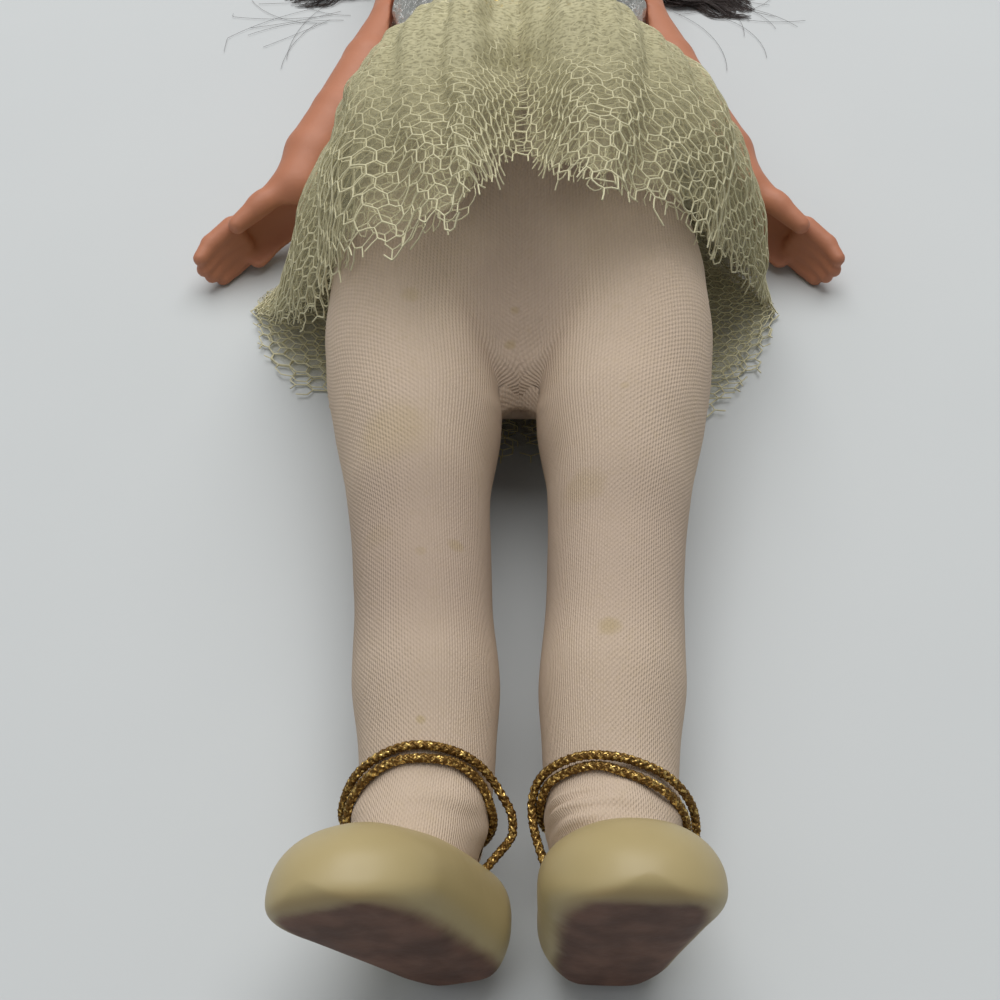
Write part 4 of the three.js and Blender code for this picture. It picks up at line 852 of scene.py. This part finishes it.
def slipper_of(name):
    ankle, toe_wards, sideways = foot_frame(name)
    place = SHOE_LENGTH / 2 * (1 - np.cos(np.linspace(0, np.pi, 81)))[:, None]
    drawn = drawn_in(place, 9.25, 12.5)
    turn = round_turn(96)
    top = SHOE_HEIGHT(place)
    middle = mix(0.47, 0.26, ease(place, 24, 41)) * top
    upper = middle + (top - middle) * bend(np.maximum(np.sin(turn), 0), 2.2)
    floor = lambda height: (height + np.sqrt(height**2 + 1)) / 2 - 0.193
    lower = middle - (middle + 1.1) * bend(np.maximum(-np.sin(turn), 0), 2.4)
    lower = floor(lower) * middle / floor(middle)
    section = np.where(np.sin(turn) >= 0, upper, lower)
    up = middle + (section - middle) * np.where(
        np.sin(turn) >= 0, drawn_in(place, 5, 9), drawn_in(place, 4, 3.6)
    )
    up = up + TOE_SPRING * np.clip((place - 20) / 24, 0, 1) ** 2 * (1 - up / top)
    points = (
        ankle
        + (place - HEEL_BACK)[..., None] * toe_wards
        + (drawn * SHOE_WIDTH(place) * bend(np.cos(turn), 2.3))[..., None] * sideways
        + up[..., None] * UPWARDS
    )
    points = points + (0.12 * grain(points, 9, 12) * ease(up, 0.2, 4))[..., None] * UPWARDS
    sole = (1 - ease(np.abs(np.cos(turn)), 0.55, 0.97)) * (1 - ease(place, 36.5, 41.5)) * (np.sin(turn) < 0)
    low = 1 - ease(up, 0.2, 2.6)
    points, faces = closed_loft(points)
    ends = lambda v: np.r_[v.ravel(), v[0, 0], v[-1, 0]]
    # Masks for the sole's worn tone with painted shade, and for the darker band along its edge
    sole_masks = {"sole": ends(sole), "low": ends(low)}
    obj = piece(f"slipper_{name}", points, faces, slipper, f"{name}_leg", sole_masks)
    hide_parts(f"shoe_{name}")


# Ankle cords

CORD = 1.35
CORD_PITCH = 3.4
ROUTES = {  # degrees from the front of the ankle towards +X, height, and how far off the knit
    "left": [
        (100, 12, 0), (95, 15.5, 0), (65, 18.8, 0), (35, 20.8, 0), (8, 22.4, 0), (-20, 24, 0),
        (-60, 23.4, 0), (-85, 21.4, 0), (-180, 19, 0), (-262, 17.6, 1.4), (-280, 20.2, 1),
        (-305, 22.4, 0.3), (-335, 24, 0), (-362, 24.7, 0.9), (-385, 25.2, 1.1), (-420, 24.5, 1),
        (-442, 22, 1.2), (-452, 18.5, 1), (-458, 12, 0.2),
    ],
    "right": [
        (-108, 12, 0), (-100, 15.8, 0), (-75, 20, 0), (-45, 23.2, 0), (-10, 24.9, 0), (20, 24.8, 0),
        (50, 23, 0), (80, 20, 0), (180, 18, 0), (268, 20.6, 0.9), (300, 24.3, 0.5), (330, 26.3, 0),
        (355, 26.9, 0), (385, 26.4, 0), (415, 24.7, 0.3), (432, 22.6, 1.2), (445, 20.2, 2.6), (453, 18, 3),
        (458, 15.6, 1.8), (460, 12.4, 0),
    ],
}


def cord_route(name):
    """Out of the slipper, about one and a half times round the ankle and back into the slipper."""
    side = SIDES[name]
    stops = np.array(ROUTES[name], float)
    degrees, level, off = [through(*enumerate(column)) for column in stops.T]
    at = np.linspace(0, len(stops) - 1, 240)
    turn = np.pi / 2 - side * np.radians(degrees(at))
    height = level(at)
    clear = CORD / 2 + 0.1 + off(at)
    forward = LEG_FORWARD(height)
    c, s = np.cos(turn), np.sin(turn)
    radius = 1 / np.hypot(c / LEG_HALF_WIDTH(height), s / LEG_HALF_DEPTH(height)) + clear
    x = LEG_ACROSS(height) + radius * c + np.sin(TURNOUT[name]) * forward
    z = LEG_RISE(height) + radius * s + np.cos(TURNOUT[name]) * forward
    return smooth_path(np.stack([side * x, height, z], -1), 420)


def smooth_path(points, count):
    """A path evenly spaced through points, a little rounded."""
    for _ in range(2):
        points[1:-1] = (points[:-2] + 2 * points[1:-1] + points[2:]) / 4
    length = distances_along(points)
    at = np.linspace(0, length[-1], count)
    return np.stack([np.interp(at, length, points[:, i]) for i in range(3)], -1)


def plaited(path, radius, pitch, strands=6):
    """Strands that cross over each other round a path, half of them each way."""
    length = distances_along(path)
    along = unit(np.gradient(path, axis=0))
    across = unit(np.cross(along, np.array([0.2, 0.95, 0.25])))
    other = np.cross(along, across)
    lines = []
    for k in range(strands):
        way = 1 if k % 2 else -1
        phase = way * 2 * np.pi * length / pitch + 4 * np.pi * (k // 2) / strands
        out = radius * (0.62 + 0.1 * way * np.cos(strands * phase / 2))
        aside = np.cos(phase)[:, None] * across + np.sin(phase)[:, None] * other
        lines.append(path + out[:, None] * aside)
    return lines


def ankle_cord(name):
    path = cord_route(name)
    strands = tubes(plaited(path, CORD / 2, CORD_PITCH), CORD * 0.19, 6)
    core = tubes([path], CORD * 0.34, 8)
    obj = piece(f"gold_cord_{name}", *gathered(strands, core), gold_cord, f"{name}_leg")
    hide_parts(f"ankle_cord_{name}")


# Tutu

HEM = {  # degrees round the waist from the side to the front, out from the middle, height, rise
    "left": [
        (90, 0.6, 119.6, 56), (78, 6.4, 106.8, 61), (68, 10.8, 100.8, 63), (52, 19.1, 104.5, 58),
        (38, 26.8, 109, 49), (27, 32, 113, 41), (14, 39.5, 121, 28), (0, 46, 131, 14), (-12, 52, 137, 4),
        (-24, 54.4, 137, 0.9), (-36, 51.9, 129.3, 0.9), (-48, 46, 118, 0.9), (-66, 27, 103, 0.9),
        (-90, 0, 97.1, 0.9),
    ],
    "right": [
        (90, 0.6, 119.6, 56), (80, 4.5, 104.5, 60), (72, 8.2, 98.5, 62), (64, 11.9, 95.1, 61),
        (50, 19.6, 97.4, 54), (36, 29.2, 102.5, 44.6), (22, 36.2, 110, 31), (6, 42, 119, 15.5),
        (-8, 51, 131, 5.5), (-22, 56.6, 138, 0.9), (-36, 55, 132, 0.9), (-48, 49.6, 121, 0.9),
        (-62, 36, 111, 0.9), (-78, 14, 99.5, 0.9), (-90, 0, 97.1, 0.9),
    ],
}
HALF_WAY = {
    "left": [
        (90, 0.3, 147, 55), (76, 9, 141, 61), (60, 18, 140, 61.5), (45, 26.5, 142, 58), (30, 34.5, 142, 52),
        (15, 41, 141, 43), (0, 45, 143, 31), (-12, 45, 150, 14), (-24, 44, 152, 2.5), (-40, 38, 148, 0.9),
        (-66, 20, 138, 0.9), (-90, 0, 134, 0.9),
    ],
    "right": [
        (90, 0.3, 147, 55), (76, 8.5, 138, 61), (60, 17, 137, 61), (45, 26, 139, 57), (30, 32.5, 137, 50),
        (15, 37, 135, 41), (0, 40.5, 137, 29), (-12, 43, 146, 14), (-24, 45, 152, 2.5), (-40, 40, 149, 0.9),
        (-66, 22, 139, 0.9), (-90, 0, 134, 0.9),
    ],
}
NET_LAYERS = [  # name, CAD piece, distance inside the outer layer, share of its length, cell, thread, shift
    ("outer", "skirt_outer", 0.0, 1.0, 3.4, 0.155, 0.0),
    ("second", "skirt_outer", 1.1, 0.985, 3.1, 0.14, 1.3),
    ("under", "skirt_under", 3.8, 0.95, 2.5, 0.11, 0.7),
]
HAZE = {"outer": (0.66, 0.05), "second": (0.55, 0.14), "under": (0.6, 0.27)}  # at the waist and at the hem


def edge_curves(stops):
    """Curves of the distance out, the height and the rise over the angle."""
    ordered = sorted(stops)
    return [through(*[(s[0], s[i]) for s in ordered]) for i in (1, 2, 3)]


HEMS = {name: edge_curves(HEM[name]) for name in SIDES}
MIDDLES = {name: edge_curves(HALF_WAY[name]) for name in SIDES}
NET_TOP = 173.6
NET_WIDTH, NET_DROP = 300, 110  # of the flat net that is cut to the skirt
BACK_EDGE = 0.2  # sine of the angle behind the sides where the back piece starts


def by_side(curves, angle):
    """Places on the curves of the two sides for angles round the waist."""
    degrees = np.degrees(np.arcsin(np.clip(np.sin(angle), -1, 1)))
    left, right = [np.stack([curve(degrees) for curve in curves[name]], -1) for name in ("left", "right")]
    return np.where((np.cos(angle) >= 0)[..., None], left, right * np.array([-1, 1, 1]))


def net_place(angle, t, inset):
    """A point on the skirt, by angle round the waist (90 degrees is in front) and share of its length."""
    c, s = np.cos(angle), np.sin(angle)
    waist = body_ring([NET_TOP], BRAID_OFF - inset * 0.5, angle.ravel())[0].reshape(angle.shape + (3,))
    hem, middle = by_side(HEMS, angle), by_side(MIDDLES, angle)
    pull = 2 * middle - (waist + hem) / 2
    k = t[..., None]
    base = (1 - k) ** 2 * waist + 2 * k * (1 - k) * pull + k * k * hem
    front = ease(s, -0.22, 0.3)
    fold = front * t * (1.6 * np.cos(10 * angle + 0.6) + 0.8 * np.cos(23 * angle + 1.3))
    gather = front * (1 - t) ** 2 * np.sqrt(np.maximum(t, 0)) * 1.5 * np.cos(46 * angle)
    base = base + ((fold + gather)[..., None]) * np.stack([c, 0 * c, np.maximum(s, 0)], -1)
    middle_fold = bell(angle - np.pi / 2, 0.1, 0.08)
    puff = ease(s, 0.6, 0.96) * np.sin(np.pi * np.clip(t / 0.55, 0, 1) ** 0.6) * mix(6.8, 4.4, middle_fold)
    base[..., 2] += puff  # stands up in front of the braid
    rough = 0.9 * ease(t, 0, 0.5) * mix(0.6, 1.0, front)
    noise = np.stack([grain(base, 6, 20 + i) for i in range(3)], -1)
    base = base + rough[..., None] * noise * np.array([1, 1, 0.8])
    keep_above(base, 0.5)
    return base


def inner_share(angle):
    """The share of its distance inside the outer layer that a layer keeps: less at the back."""
    return mix(0.45, 1, ease(np.sin(angle), -0.3, 0.2))[..., None]


def net_length(angle, inset):
    """The length of the skirt from the waist to the hem at each angle."""
    t = np.linspace(0, 1, 40)
    a, t = np.meshgrid(angle, t, indexing="ij")
    line = net_place(a, t, inset)
    return np.linalg.norm(np.diff(line, axis=1), axis=-1).sum(1)


def net_on_surface(u, v, length, inset):
    """Places, angles and shares of the length for points on the flat net, laid on the skirt."""
    turn = np.linspace(-np.pi / 2, 1.5 * np.pi, 361)
    arc = distances_along(net_place(turn, 0 * turn + 0.7, inset))
    angle = np.interp(u / NET_WIDTH * arc[-1], arc, turn)
    lengths = np.interp(angle, turn, net_length(turn, inset)) * length
    t = np.clip(v / lengths, 0, 1.08) * length
    place = net_place(angle, t, inset)
    step = 0.012
    round_way = net_place(angle + step, t, inset) - net_place(angle - step, t, inset)
    down_way = net_place(angle, t + step, inset) - net_place(angle, np.maximum(t - step, 0), inset)
    normal = np.cross(round_way, down_way)
    normal = normal / np.maximum(np.linalg.norm(normal, axis=-1, keepdims=True), 1e-9)
    place = place - inset * normal * inner_share(angle)
    keep_above(place, 0.35)
    return place, angle, v / lengths


def net_layer(label, node, inset, length, cell, thread, shift):
    """One layer of hexagonal net as real thread, in three pieces: the front on either side, and the back."""
    edge = cell / math.sqrt(3)
    columns, rows = int(NET_WIDTH / cell), int(NET_DROP / (1.5 * edge))
    j, i = np.meshgrid(np.arange(rows), np.arange(columns), indexing="ij")
    centre = np.stack([(i + 0.5 * (j % 2)) * cell + shift, j * 1.5 * edge], -1).reshape(-1, 2)

    def corner(degrees):
        way = math.radians(degrees)
        return centre + edge * np.array([math.cos(way), math.sin(way)])

    start = np.concatenate([corner(degrees) for degrees in (90, 30, -30)])
    end = np.concatenate([corner(degrees) for degrees in (30, -30, -90)])
    share = np.linspace(0, 1, 3)[None, :, None]
    flat = mix(start[:, None], end[:, None], share)
    flat = flat + 0.42 * np.stack([grain(flat, 5, 31 + shift), grain(flat, 5, 32 + shift)], -1)
    u, v = np.mod(flat[..., 0], NET_WIDTH), flat[..., 1]
    straddles = np.ptp(u, axis=1) > NET_WIDTH / 2
    place, angle, along = net_on_surface(u, np.maximum(v, 0), length, inset)
    ragged = 1 + 0.035 * grain(np.stack([u[:, 0], 0 * u[:, 0]], -1), 2.6, 40 + shift)
    kept = (along[:, 1] < ragged) & (v[:, 1] > 0) & ~straddles
    place, angle = place[kept], angle[kept][:, 1]
    place = place + 0.12 * grain(place, 2.2, 44)[..., None]
    keep_above(place, 0.3)
    front = np.sin(angle) > -BACK_EDGE
    edge_angle = math.asin(BACK_EDGE)
    for part, chosen, first, last, joint in (
        ("left", front & (np.cos(angle) >= 0), -edge_angle, np.pi / 2, "hip_left"),
        ("right", front & (np.cos(angle) < 0), np.pi / 2, np.pi + edge_angle, "hip_right"),
        ("back", ~front, np.pi + edge_angle, 2 * np.pi - edge_angle, None),
    ):
        threads = tubes(place[chosen], thread, 4)
        sheet, dense, area, sheet_length = net_haze(first, last, inset, length * 0.965, *HAZE[label])
        points, faces = gathered(threads, sheet)
        haze = np.r_[np.zeros(len(threads[0])), dense]
        obj = piece(f"net_{label}_{part}", points, faces, net, "torso", {"haze": haze})
        if joint:
            row((0, NET_TOP, 44))
            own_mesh(obj)
        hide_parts(node)
        flat = (area / sheet_length * MM, sheet_length * MM)


def net_haze(first, last, inset, length, at_waist, at_hem):
    """The many fine fibres between the threads, as one milky sheet that thins out towards the hem."""
    rows, columns = 110, 60
    angles, shares = np.linspace(first, last, rows), np.linspace(0.02, length, columns)
    angle, t = np.meshgrid(angles, shares, indexing="ij")
    place = net_place(angle, t, inset)
    normal = unit(np.cross(np.gradient(place, axis=0), np.gradient(place, axis=1)) + 1e-9)
    place = place - (inset - 0.2) * normal * inner_share(angle)
    keep_above(place, 0.35)
    across = np.linalg.norm(np.diff(place, axis=0), axis=-1)
    down = np.linalg.norm(np.diff(place, axis=1), axis=-1)
    area = float((across[:, :-1] * down[:-1]).sum())
    dense = mix(at_waist, at_hem, ease(t, 0.35, 0.85)).ravel()
    return (place.reshape(-1, 3), grid(rows, columns, False)), dense, area, float(down.sum(1).mean())


# Arms

ARM_FLAT = 29.2  # the flat face against the body
ARM_STEP = 0.55
FINGERS = (0.92, 1, 0.95, 0.8)  # lengths, as shares of the longest
FINGER_ROOT, FINGER_SPACING = 16.4, 2.7


def arm(name):
    """An arm with its hand, laid out from the wrist along the hand, across it and out of its back."""
    side = SIDES[name]
    at = lambda x, y, z: np.array([side * x, y, z])
    wrist = at(46.8, 160, 15.4)
    limb = [
        (at(29.6, 217.5, 24), 3.8),
        (at(29.8, 208.5, 23.6), 4.6),
        (at(33.6, 194.5, 21.8), 6.1),
        (at(39.2, 179, 19.4), 6.3),
        (at(44.2, 168.5, 17), 6.3),
        (wrist, 5.3),
    ]
    along = unit(at(0.84, -0.45, -0.31))
    back = at(0.42, 0.88, -0.06)
    back = unit(back - along * (back @ along))
    index = np.cross(along, back) * side
    axes = (along, index, back)
    spot = lambda far, wide, high: wrist + far * along + wide * index + high * back

    def distance(p):
        stretches = [cone(p, a, b, start, end) for (a, start), (b, end) in zip(limb, limb[1:])]
        d = stretches[0]
        for stretch in stretches[1:]:
            d = melt(d, stretch, 0.8)
        d = melt(d, egg(p, spot(10, -3.8, 0.6), (11, 6.4, 4), axes), 3)
        d = melt(d, cone(p, wrist, spot(5, -1.6, 0), 5, 4.5), 2)
        d = melt(d, cone(p, spot(3, -6, -1.6), spot(15.5, -7.6, -2.6), 2.5, 2.2), 1.5)
        d = melt(d, cone(p, spot(3, 1.6, -0.5), spot(9, 2.8, -2), 3, 2.6), 2)
        d = carve(d, egg(p, spot(9.8, -3.6, -5), (9.4, 5.6, 6.4), axes), 1.2)
        for k, length in enumerate(FINGERS):
            wide = (1.5 - k) * FINGER_SPACING - 3.4
            root, knuckle = spot(FINGER_ROOT, wide, 0.2), spot(FINGER_ROOT + 6.2 * length, wide, -1)
            tip = spot(FINGER_ROOT + 9.8 * length, wide * 0.96, -3.4 * length)
            finger = melt(cone(p, root, knuckle, 2.2, 2.0), cone(p, knuckle, tip, 1.95, 1.6), 0.6)
            d = melt(d, finger, 0.6)
        d = melt(d, cone(p, spot(8, 3, -1.8), spot(15, 3, -3.4), 2.5, 1.9), 1)
        return np.maximum(np.maximum(d, ARM_FLAT - side * p[..., 0]), 0.3 - p[..., 2])

    low, high = np.array([27, 130, -3]), np.array([80, 234, 36])
    if side < 0:
        low[0], high[0] = -80, -27
    stub = tubes([[at(20, 216, 24), at(31, 216, 24)]], 4, 24, (0, 0, 1))
    points, faces = gathered(surface_of(distance, low, high, ARM_STEP), stub)
    obj = piece(f"arm_{name}_vinyl", points, faces, skin, f"{name}_arm")
    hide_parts(f"arm_{name}")


# Head

EYE = np.array([10.2, HEAD_MIDDLE[1] + 0.5, 52.59])
EYE_RADIUS = 5.2
EYE_HALF_WIDTH, EYE_HALF_HEIGHT = 5.0, 4.15  # of the almond opening
EYE_SQUARENESS = 2.2
LID_EDGE = -26  # degrees down from straight out of the face, while the eye is shut


def head():
    c = HEAD_MIDDLE

    def distance(p):
        q = p.copy()
        q[..., 0] = np.abs(q[..., 0])
        d = egg(q, c + (0, 4, -1), (28.7, 28.4, 28))
        d = melt(d, egg(q, c + (0, -12, 4), (22, 20, 22)), 9)
        d = melt(d, egg(q, c + (12, -10, 17.5), (9, 9, 8.5)), 6)
        d = melt(d, egg(q, c + (0, -25, 19.5), (6, 5.5, 5.5)), 5)
        d = melt(d, cone(q, c + (0, 2, 26.4), c + (0, -6.6, 28.4), 1.5, 2.4), 3)
        d = melt(d, egg(q, c + (0, -15.3, 25.2), (5.4, 2.2, 2.8)), 1.8)
        d = carve(d, cone(q, c + (0, -15.5, 28.6), c + (4.6, -15.0, 27.2), 0.35, 0.2), 0.5)
        d = melt(d, egg(q, c + (27.6, -3.5, -1.5), (3, 5.4, 3.8)), 1.5)
        d = carve(d, egg(q, c + (30.6, -3.2, -0.5), (1.6, 3.2, 2)), 1)
        neck = np.hypot(q[..., 0], q[..., 2] - SEAM_RISE) - 8.5
        neck = np.maximum(neck, np.abs(q[..., 1] - 237) - 7.6)
        d = melt(d, neck, 2)
        across = np.abs((q[..., 0] - EYE[0]) / EYE_HALF_WIDTH) ** EYE_SQUARENESS
        upright = np.abs((q[..., 1] - EYE[1]) / EYE_HALF_HEIGHT) ** EYE_SQUARENESS
        almond = (across + upright) ** (1 / EYE_SQUARENESS)
        hole = np.maximum((almond - 1) * 4.2, EYE[2] - q[..., 2])
        d = carve(d, np.minimum(hole, np.linalg.norm(q - EYE, axis=-1) - EYE_RADIUS - 0.35), 0.5)
        return d

    points, faces = surface_of(distance, (-33, 228, 1), (33, 300, 66), 0.7)
    obj = piece("head_vinyl", points, faces, face, "head")
    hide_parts("head_shell")


def eye(name):
    side = SIDES[name]
    centre = EYE * (side, 1, 1)
    polar, turn = np.meshgrid(np.linspace(0.001, np.pi - 0.001, 49), round_turn(64), indexing="ij")
    way = np.stack([np.cos(polar), np.sin(polar) * np.cos(turn), np.sin(polar) * np.sin(turn)], -1)
    look = math.radians(46)
    gaze = np.arccos(np.clip(way @ np.array([0, -math.sin(look), math.cos(look)]), -1, 1))
    above = np.arctan2(way[..., 1], way[..., 2])
    points, faces = closed_loft(centre + EYE_RADIUS * way)
    lid = ease(above, math.radians(LID_EDGE - 1), math.radians(LID_EDGE + 1))
    lid = lid * ease(-np.abs(above), -2.6, -2.5)
    spare = lambda v: np.r_[np.ravel(v), 0, 0]
    paint = {"gaze": spare(gaze), "lid": spare(lid)}
    obj = piece(f"eye_{name}_ball", points, faces, eye_paint, f"{name}_eye", paint)
    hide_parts(f"eyeball_{name}")
    fan = np.radians(np.linspace(-25, 25, 22))
    reach = np.linspace(0, 1, 6)
    far = 5.35 + 2.2 * reach
    down = math.radians(LID_EDGE) + 0.1 * reach**2
    lines = np.stack([
        centre[0] + np.sin(fan)[:, None] * far,
        centre[1] + np.cos(fan)[:, None] * far * np.sin(down),
        centre[2] + np.cos(fan)[:, None] * far * np.cos(down),
    ], -1)
    points, faces = tubes(lines, 0.14 * (1 - 0.8 * reach)[None], 5)
    obj = piece(f"eye_{name}_lashes", points, faces, hair, f"{name}_eye")
    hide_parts(f"eyelashes_{name}")


# Hair

CAP_ROWS, CAP_COLUMNS, CAP_HAIRS = 90, 60, 520
LOCK_HAIRS, STRAY_HAIRS = 460, 14
HAIR_RADIUS = 0.17
LOCK_HEIGHT = {"left": 265, "right": 270}
STRAY_REACH = 76


def skull(along, aside, side, out):
    """A point on the hair, by angles along the parting from the forehead and down the side of the head."""
    way = np.stack([
        side * np.sin(aside),
        np.cos(aside) * np.sin(along),
        np.cos(aside) * np.cos(along),
    ], -1)
    return HEAD_MIDDLE + (0, 1.6, -0.8) + way * (np.array([29.4, 31.2, 29.2]) + out[..., None])


def hair_cap():
    along = np.linspace(math.radians(38), math.radians(218), CAP_ROWS)
    aside = np.linspace(0, math.radians(88), CAP_COLUMNS)
    a, b = np.meshgrid(along, aside, indexing="ij")
    combed = 0.35 * np.cos(a * 110 + 3 * np.sin(b * 5))
    strand = combed + 0.25 * grain(np.stack([a * 60, b * 8], -1), 2, 50)
    meshes = []
    for side in SIDES.values():
        points = skull(a, b, side, 0.6 + strand)
        keep_above(points, 0.45)
        meshes.append((points.reshape(-1, 3), grid(CAP_ROWS, CAP_COLUMNS, False)))
    count = CAP_HAIRS
    lines = []
    for side in SIDES.values():
        a0 = rng.uniform(math.radians(36), math.radians(216), count)
        b = np.linspace(0, 1, 22)[None] * rng.uniform(0.9, 1.0, count)[:, None] * math.radians(90)
        sway = 0.05 * np.sin(b * rng.uniform(2, 5, count)[:, None] + rng.uniform(0, 6, count)[:, None])
        points = skull(a0[:, None] + sway, b, side, rng.uniform(0.8, 1.7, count)[:, None] + 0 * b)
        keep_above(points, 0.5)
        lines.append(points)
    meshes.append(tubes(np.concatenate(lines), HAIR_RADIUS, 3))
    points, faces = gathered(*meshes)
    obj = piece("hair_on_head", points, faces, hair, "head")
    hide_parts("hair_cap")


def hair_lock(name):
    """Loose hair that fans out from beside the neck and comes to lie on the floor."""
    side, count = SIDES[name], LOCK_HAIRS
    t = np.linspace(0, 1, 26)[None]
    k = rng.random((count, 1))
    depth = rng.random((count, 1)) ** 1.5
    fan = mix(-1, 1, k)
    root = 22 + 6 * rng.random((count, 1))
    reach = 56 + 9 * rng.random((count, 1)) - 5 * fan**2
    x = mix(root, reach, t**0.9)
    y = LOCK_HEIGHT[name] + 8 * fan + (-3 * t**1.3 + fan * 7 * t) + 2.5 * np.sin(3.1 * t + 5 * k) * t
    z = mix(8 + 9 * depth, 0.5 + 4.5 * depth * (1 - t), np.clip(t * 2.4, 0, 1) ** 0.8)
    wave = np.stack([grain(np.stack([t * 6 + 0 * k, k * 9 + 0 * t], -1), 1.0, 60 + i) for i in range(3)], -1)
    points = np.stack([x, y, z], -1) + wave * np.array([2.2, 2.6, 1.0]) * t[..., None] ** 0.7
    keep_above(points, 0.35)
    points[..., 0] *= side
    strays = tubes(stray_hairs(side), 0.045, 3)
    points, faces = gathered(tubes(points, HAIR_RADIUS * (1 - 0.6 * t), 3), strays)
    obj = piece(f"loose_hair_{name}", points, faces, hair, "head")
    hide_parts(f"hair_lock_{name}")


def stray_hairs(side):
    """Single hairs that curl away on the surface."""
    count = STRAY_HAIRS
    t = np.linspace(0, 1, 30)[None]
    turn = rng.uniform(-1.6, 1.6, (count, 1)) * t + rng.uniform(-0.9, 0.3, (count, 1))
    step = rng.uniform(0.7, 1.15, (count, 1))
    x = 40 + 14 * rng.random((count, 1)) + np.cumsum(np.cos(turn), 1) * step
    y = 248 + 20 * rng.random((count, 1)) - 4 + np.cumsum(np.sin(turn), 1) * step
    x = np.minimum(x, STRAY_REACH)
    return np.stack([side * x, y, 0.4 + 0 * x], -1)


# Scene

FLOOR_HALF = 3  # metres, as the places of lamps and camera are
SKY_STRENGTH = 0.24
LIT_PLACE = (0, -0.02, 0.02)
CAMERA_PLACE = (0, -0.198, 0.1842)
CAMERA_DOWN = 53.4  # degrees below level
SENSOR = 36
LENS_SHARE = 1.222


def dress_cad_nodes():
    """Materials for the CAD pieces that show as they are."""
    for node, material in (
        ("stud_upper", steel), ("stud_lower", steel), ("skirt_tape", tape), ("eye_cup_left", cup_plastic),
        ("eye_cup_right", cup_plastic), ("eye_weight_left", lead), ("eye_weight_right", lead),
    ):
        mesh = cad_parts[node].data
        mesh.materials.clear()
        mesh.materials.append(material)


def surroundings():
    s = Surface("pale_floor", roughness=0.7, specular_ior_level=0.2)
    s.give(base_color=s.colour(s.noise(60.0, 3.0), (0.55, 0.57, 0.572), (0.575, 0.595, 0.595)))
    corners = [(x * FLOOR_HALF, y * FLOOR_HALF, 0) for x, y in ((-1, -1), (1, -1), (1, 1), (-1, 1))]
    mesh = bpy.data.meshes.new("floor")
    mesh.from_pydata(corners, [], [(0, 1, 2, 3)])
    mesh.materials.append(s.material)
    floor = into_scene("floor", mesh)
    world = bpy.data.worlds.new("studio")
    bpy.context.scene.world = world
    world.use_nodes = True
    background = world.node_tree.nodes["Background"]
    background.inputs["Color"].default_value = (0.96, 0.98, 1.0, 1)
    background.inputs["Strength"].default_value = SKY_STRENGTH
    softbox("window", (0.05, 0.42, 1.1), 1.1, 14.0)
    softbox("fill", (-0.5, -0.1, 0.9), 0.8, 1.4)


def softbox(name, place, size, energy):
    light = bpy.data.lights.new(name, "AREA")
    light.size = size
    light.energy = energy
    obj = into_scene(name, light)
    obj.location = place
    obj.rotation_euler = (Vector(LIT_PLACE) - Vector(place)).to_track_quat("-Z", "Y").to_euler()


def camera():
    data = bpy.data.cameras.new("camera")
    data.sensor_width = SENSOR
    data.lens = SENSOR * LENS_SHARE
    data.shift_x = -0.019
    data.clip_start = 0.01
    obj = into_scene("camera", data)
    obj.location = CAMERA_PLACE
    obj.rotation_euler = (math.radians(90 - CAMERA_DOWN), 0, 0)
    bpy.context.scene.camera = obj
    bpy.context.scene.view_settings.view_transform = "Standard"


torso()
bodice()
waist_braid()
head()
hair_cap()
for name in SIDES:
    strap(name)
    tights(name)
    slipper_of(name)
    ankle_cord(name)
    arm(name)
    eye(name)
    hair_lock(name)
for layer in NET_LAYERS:
    net_layer(*layer)
dress_cad_nodes()
surroundings()
camera()
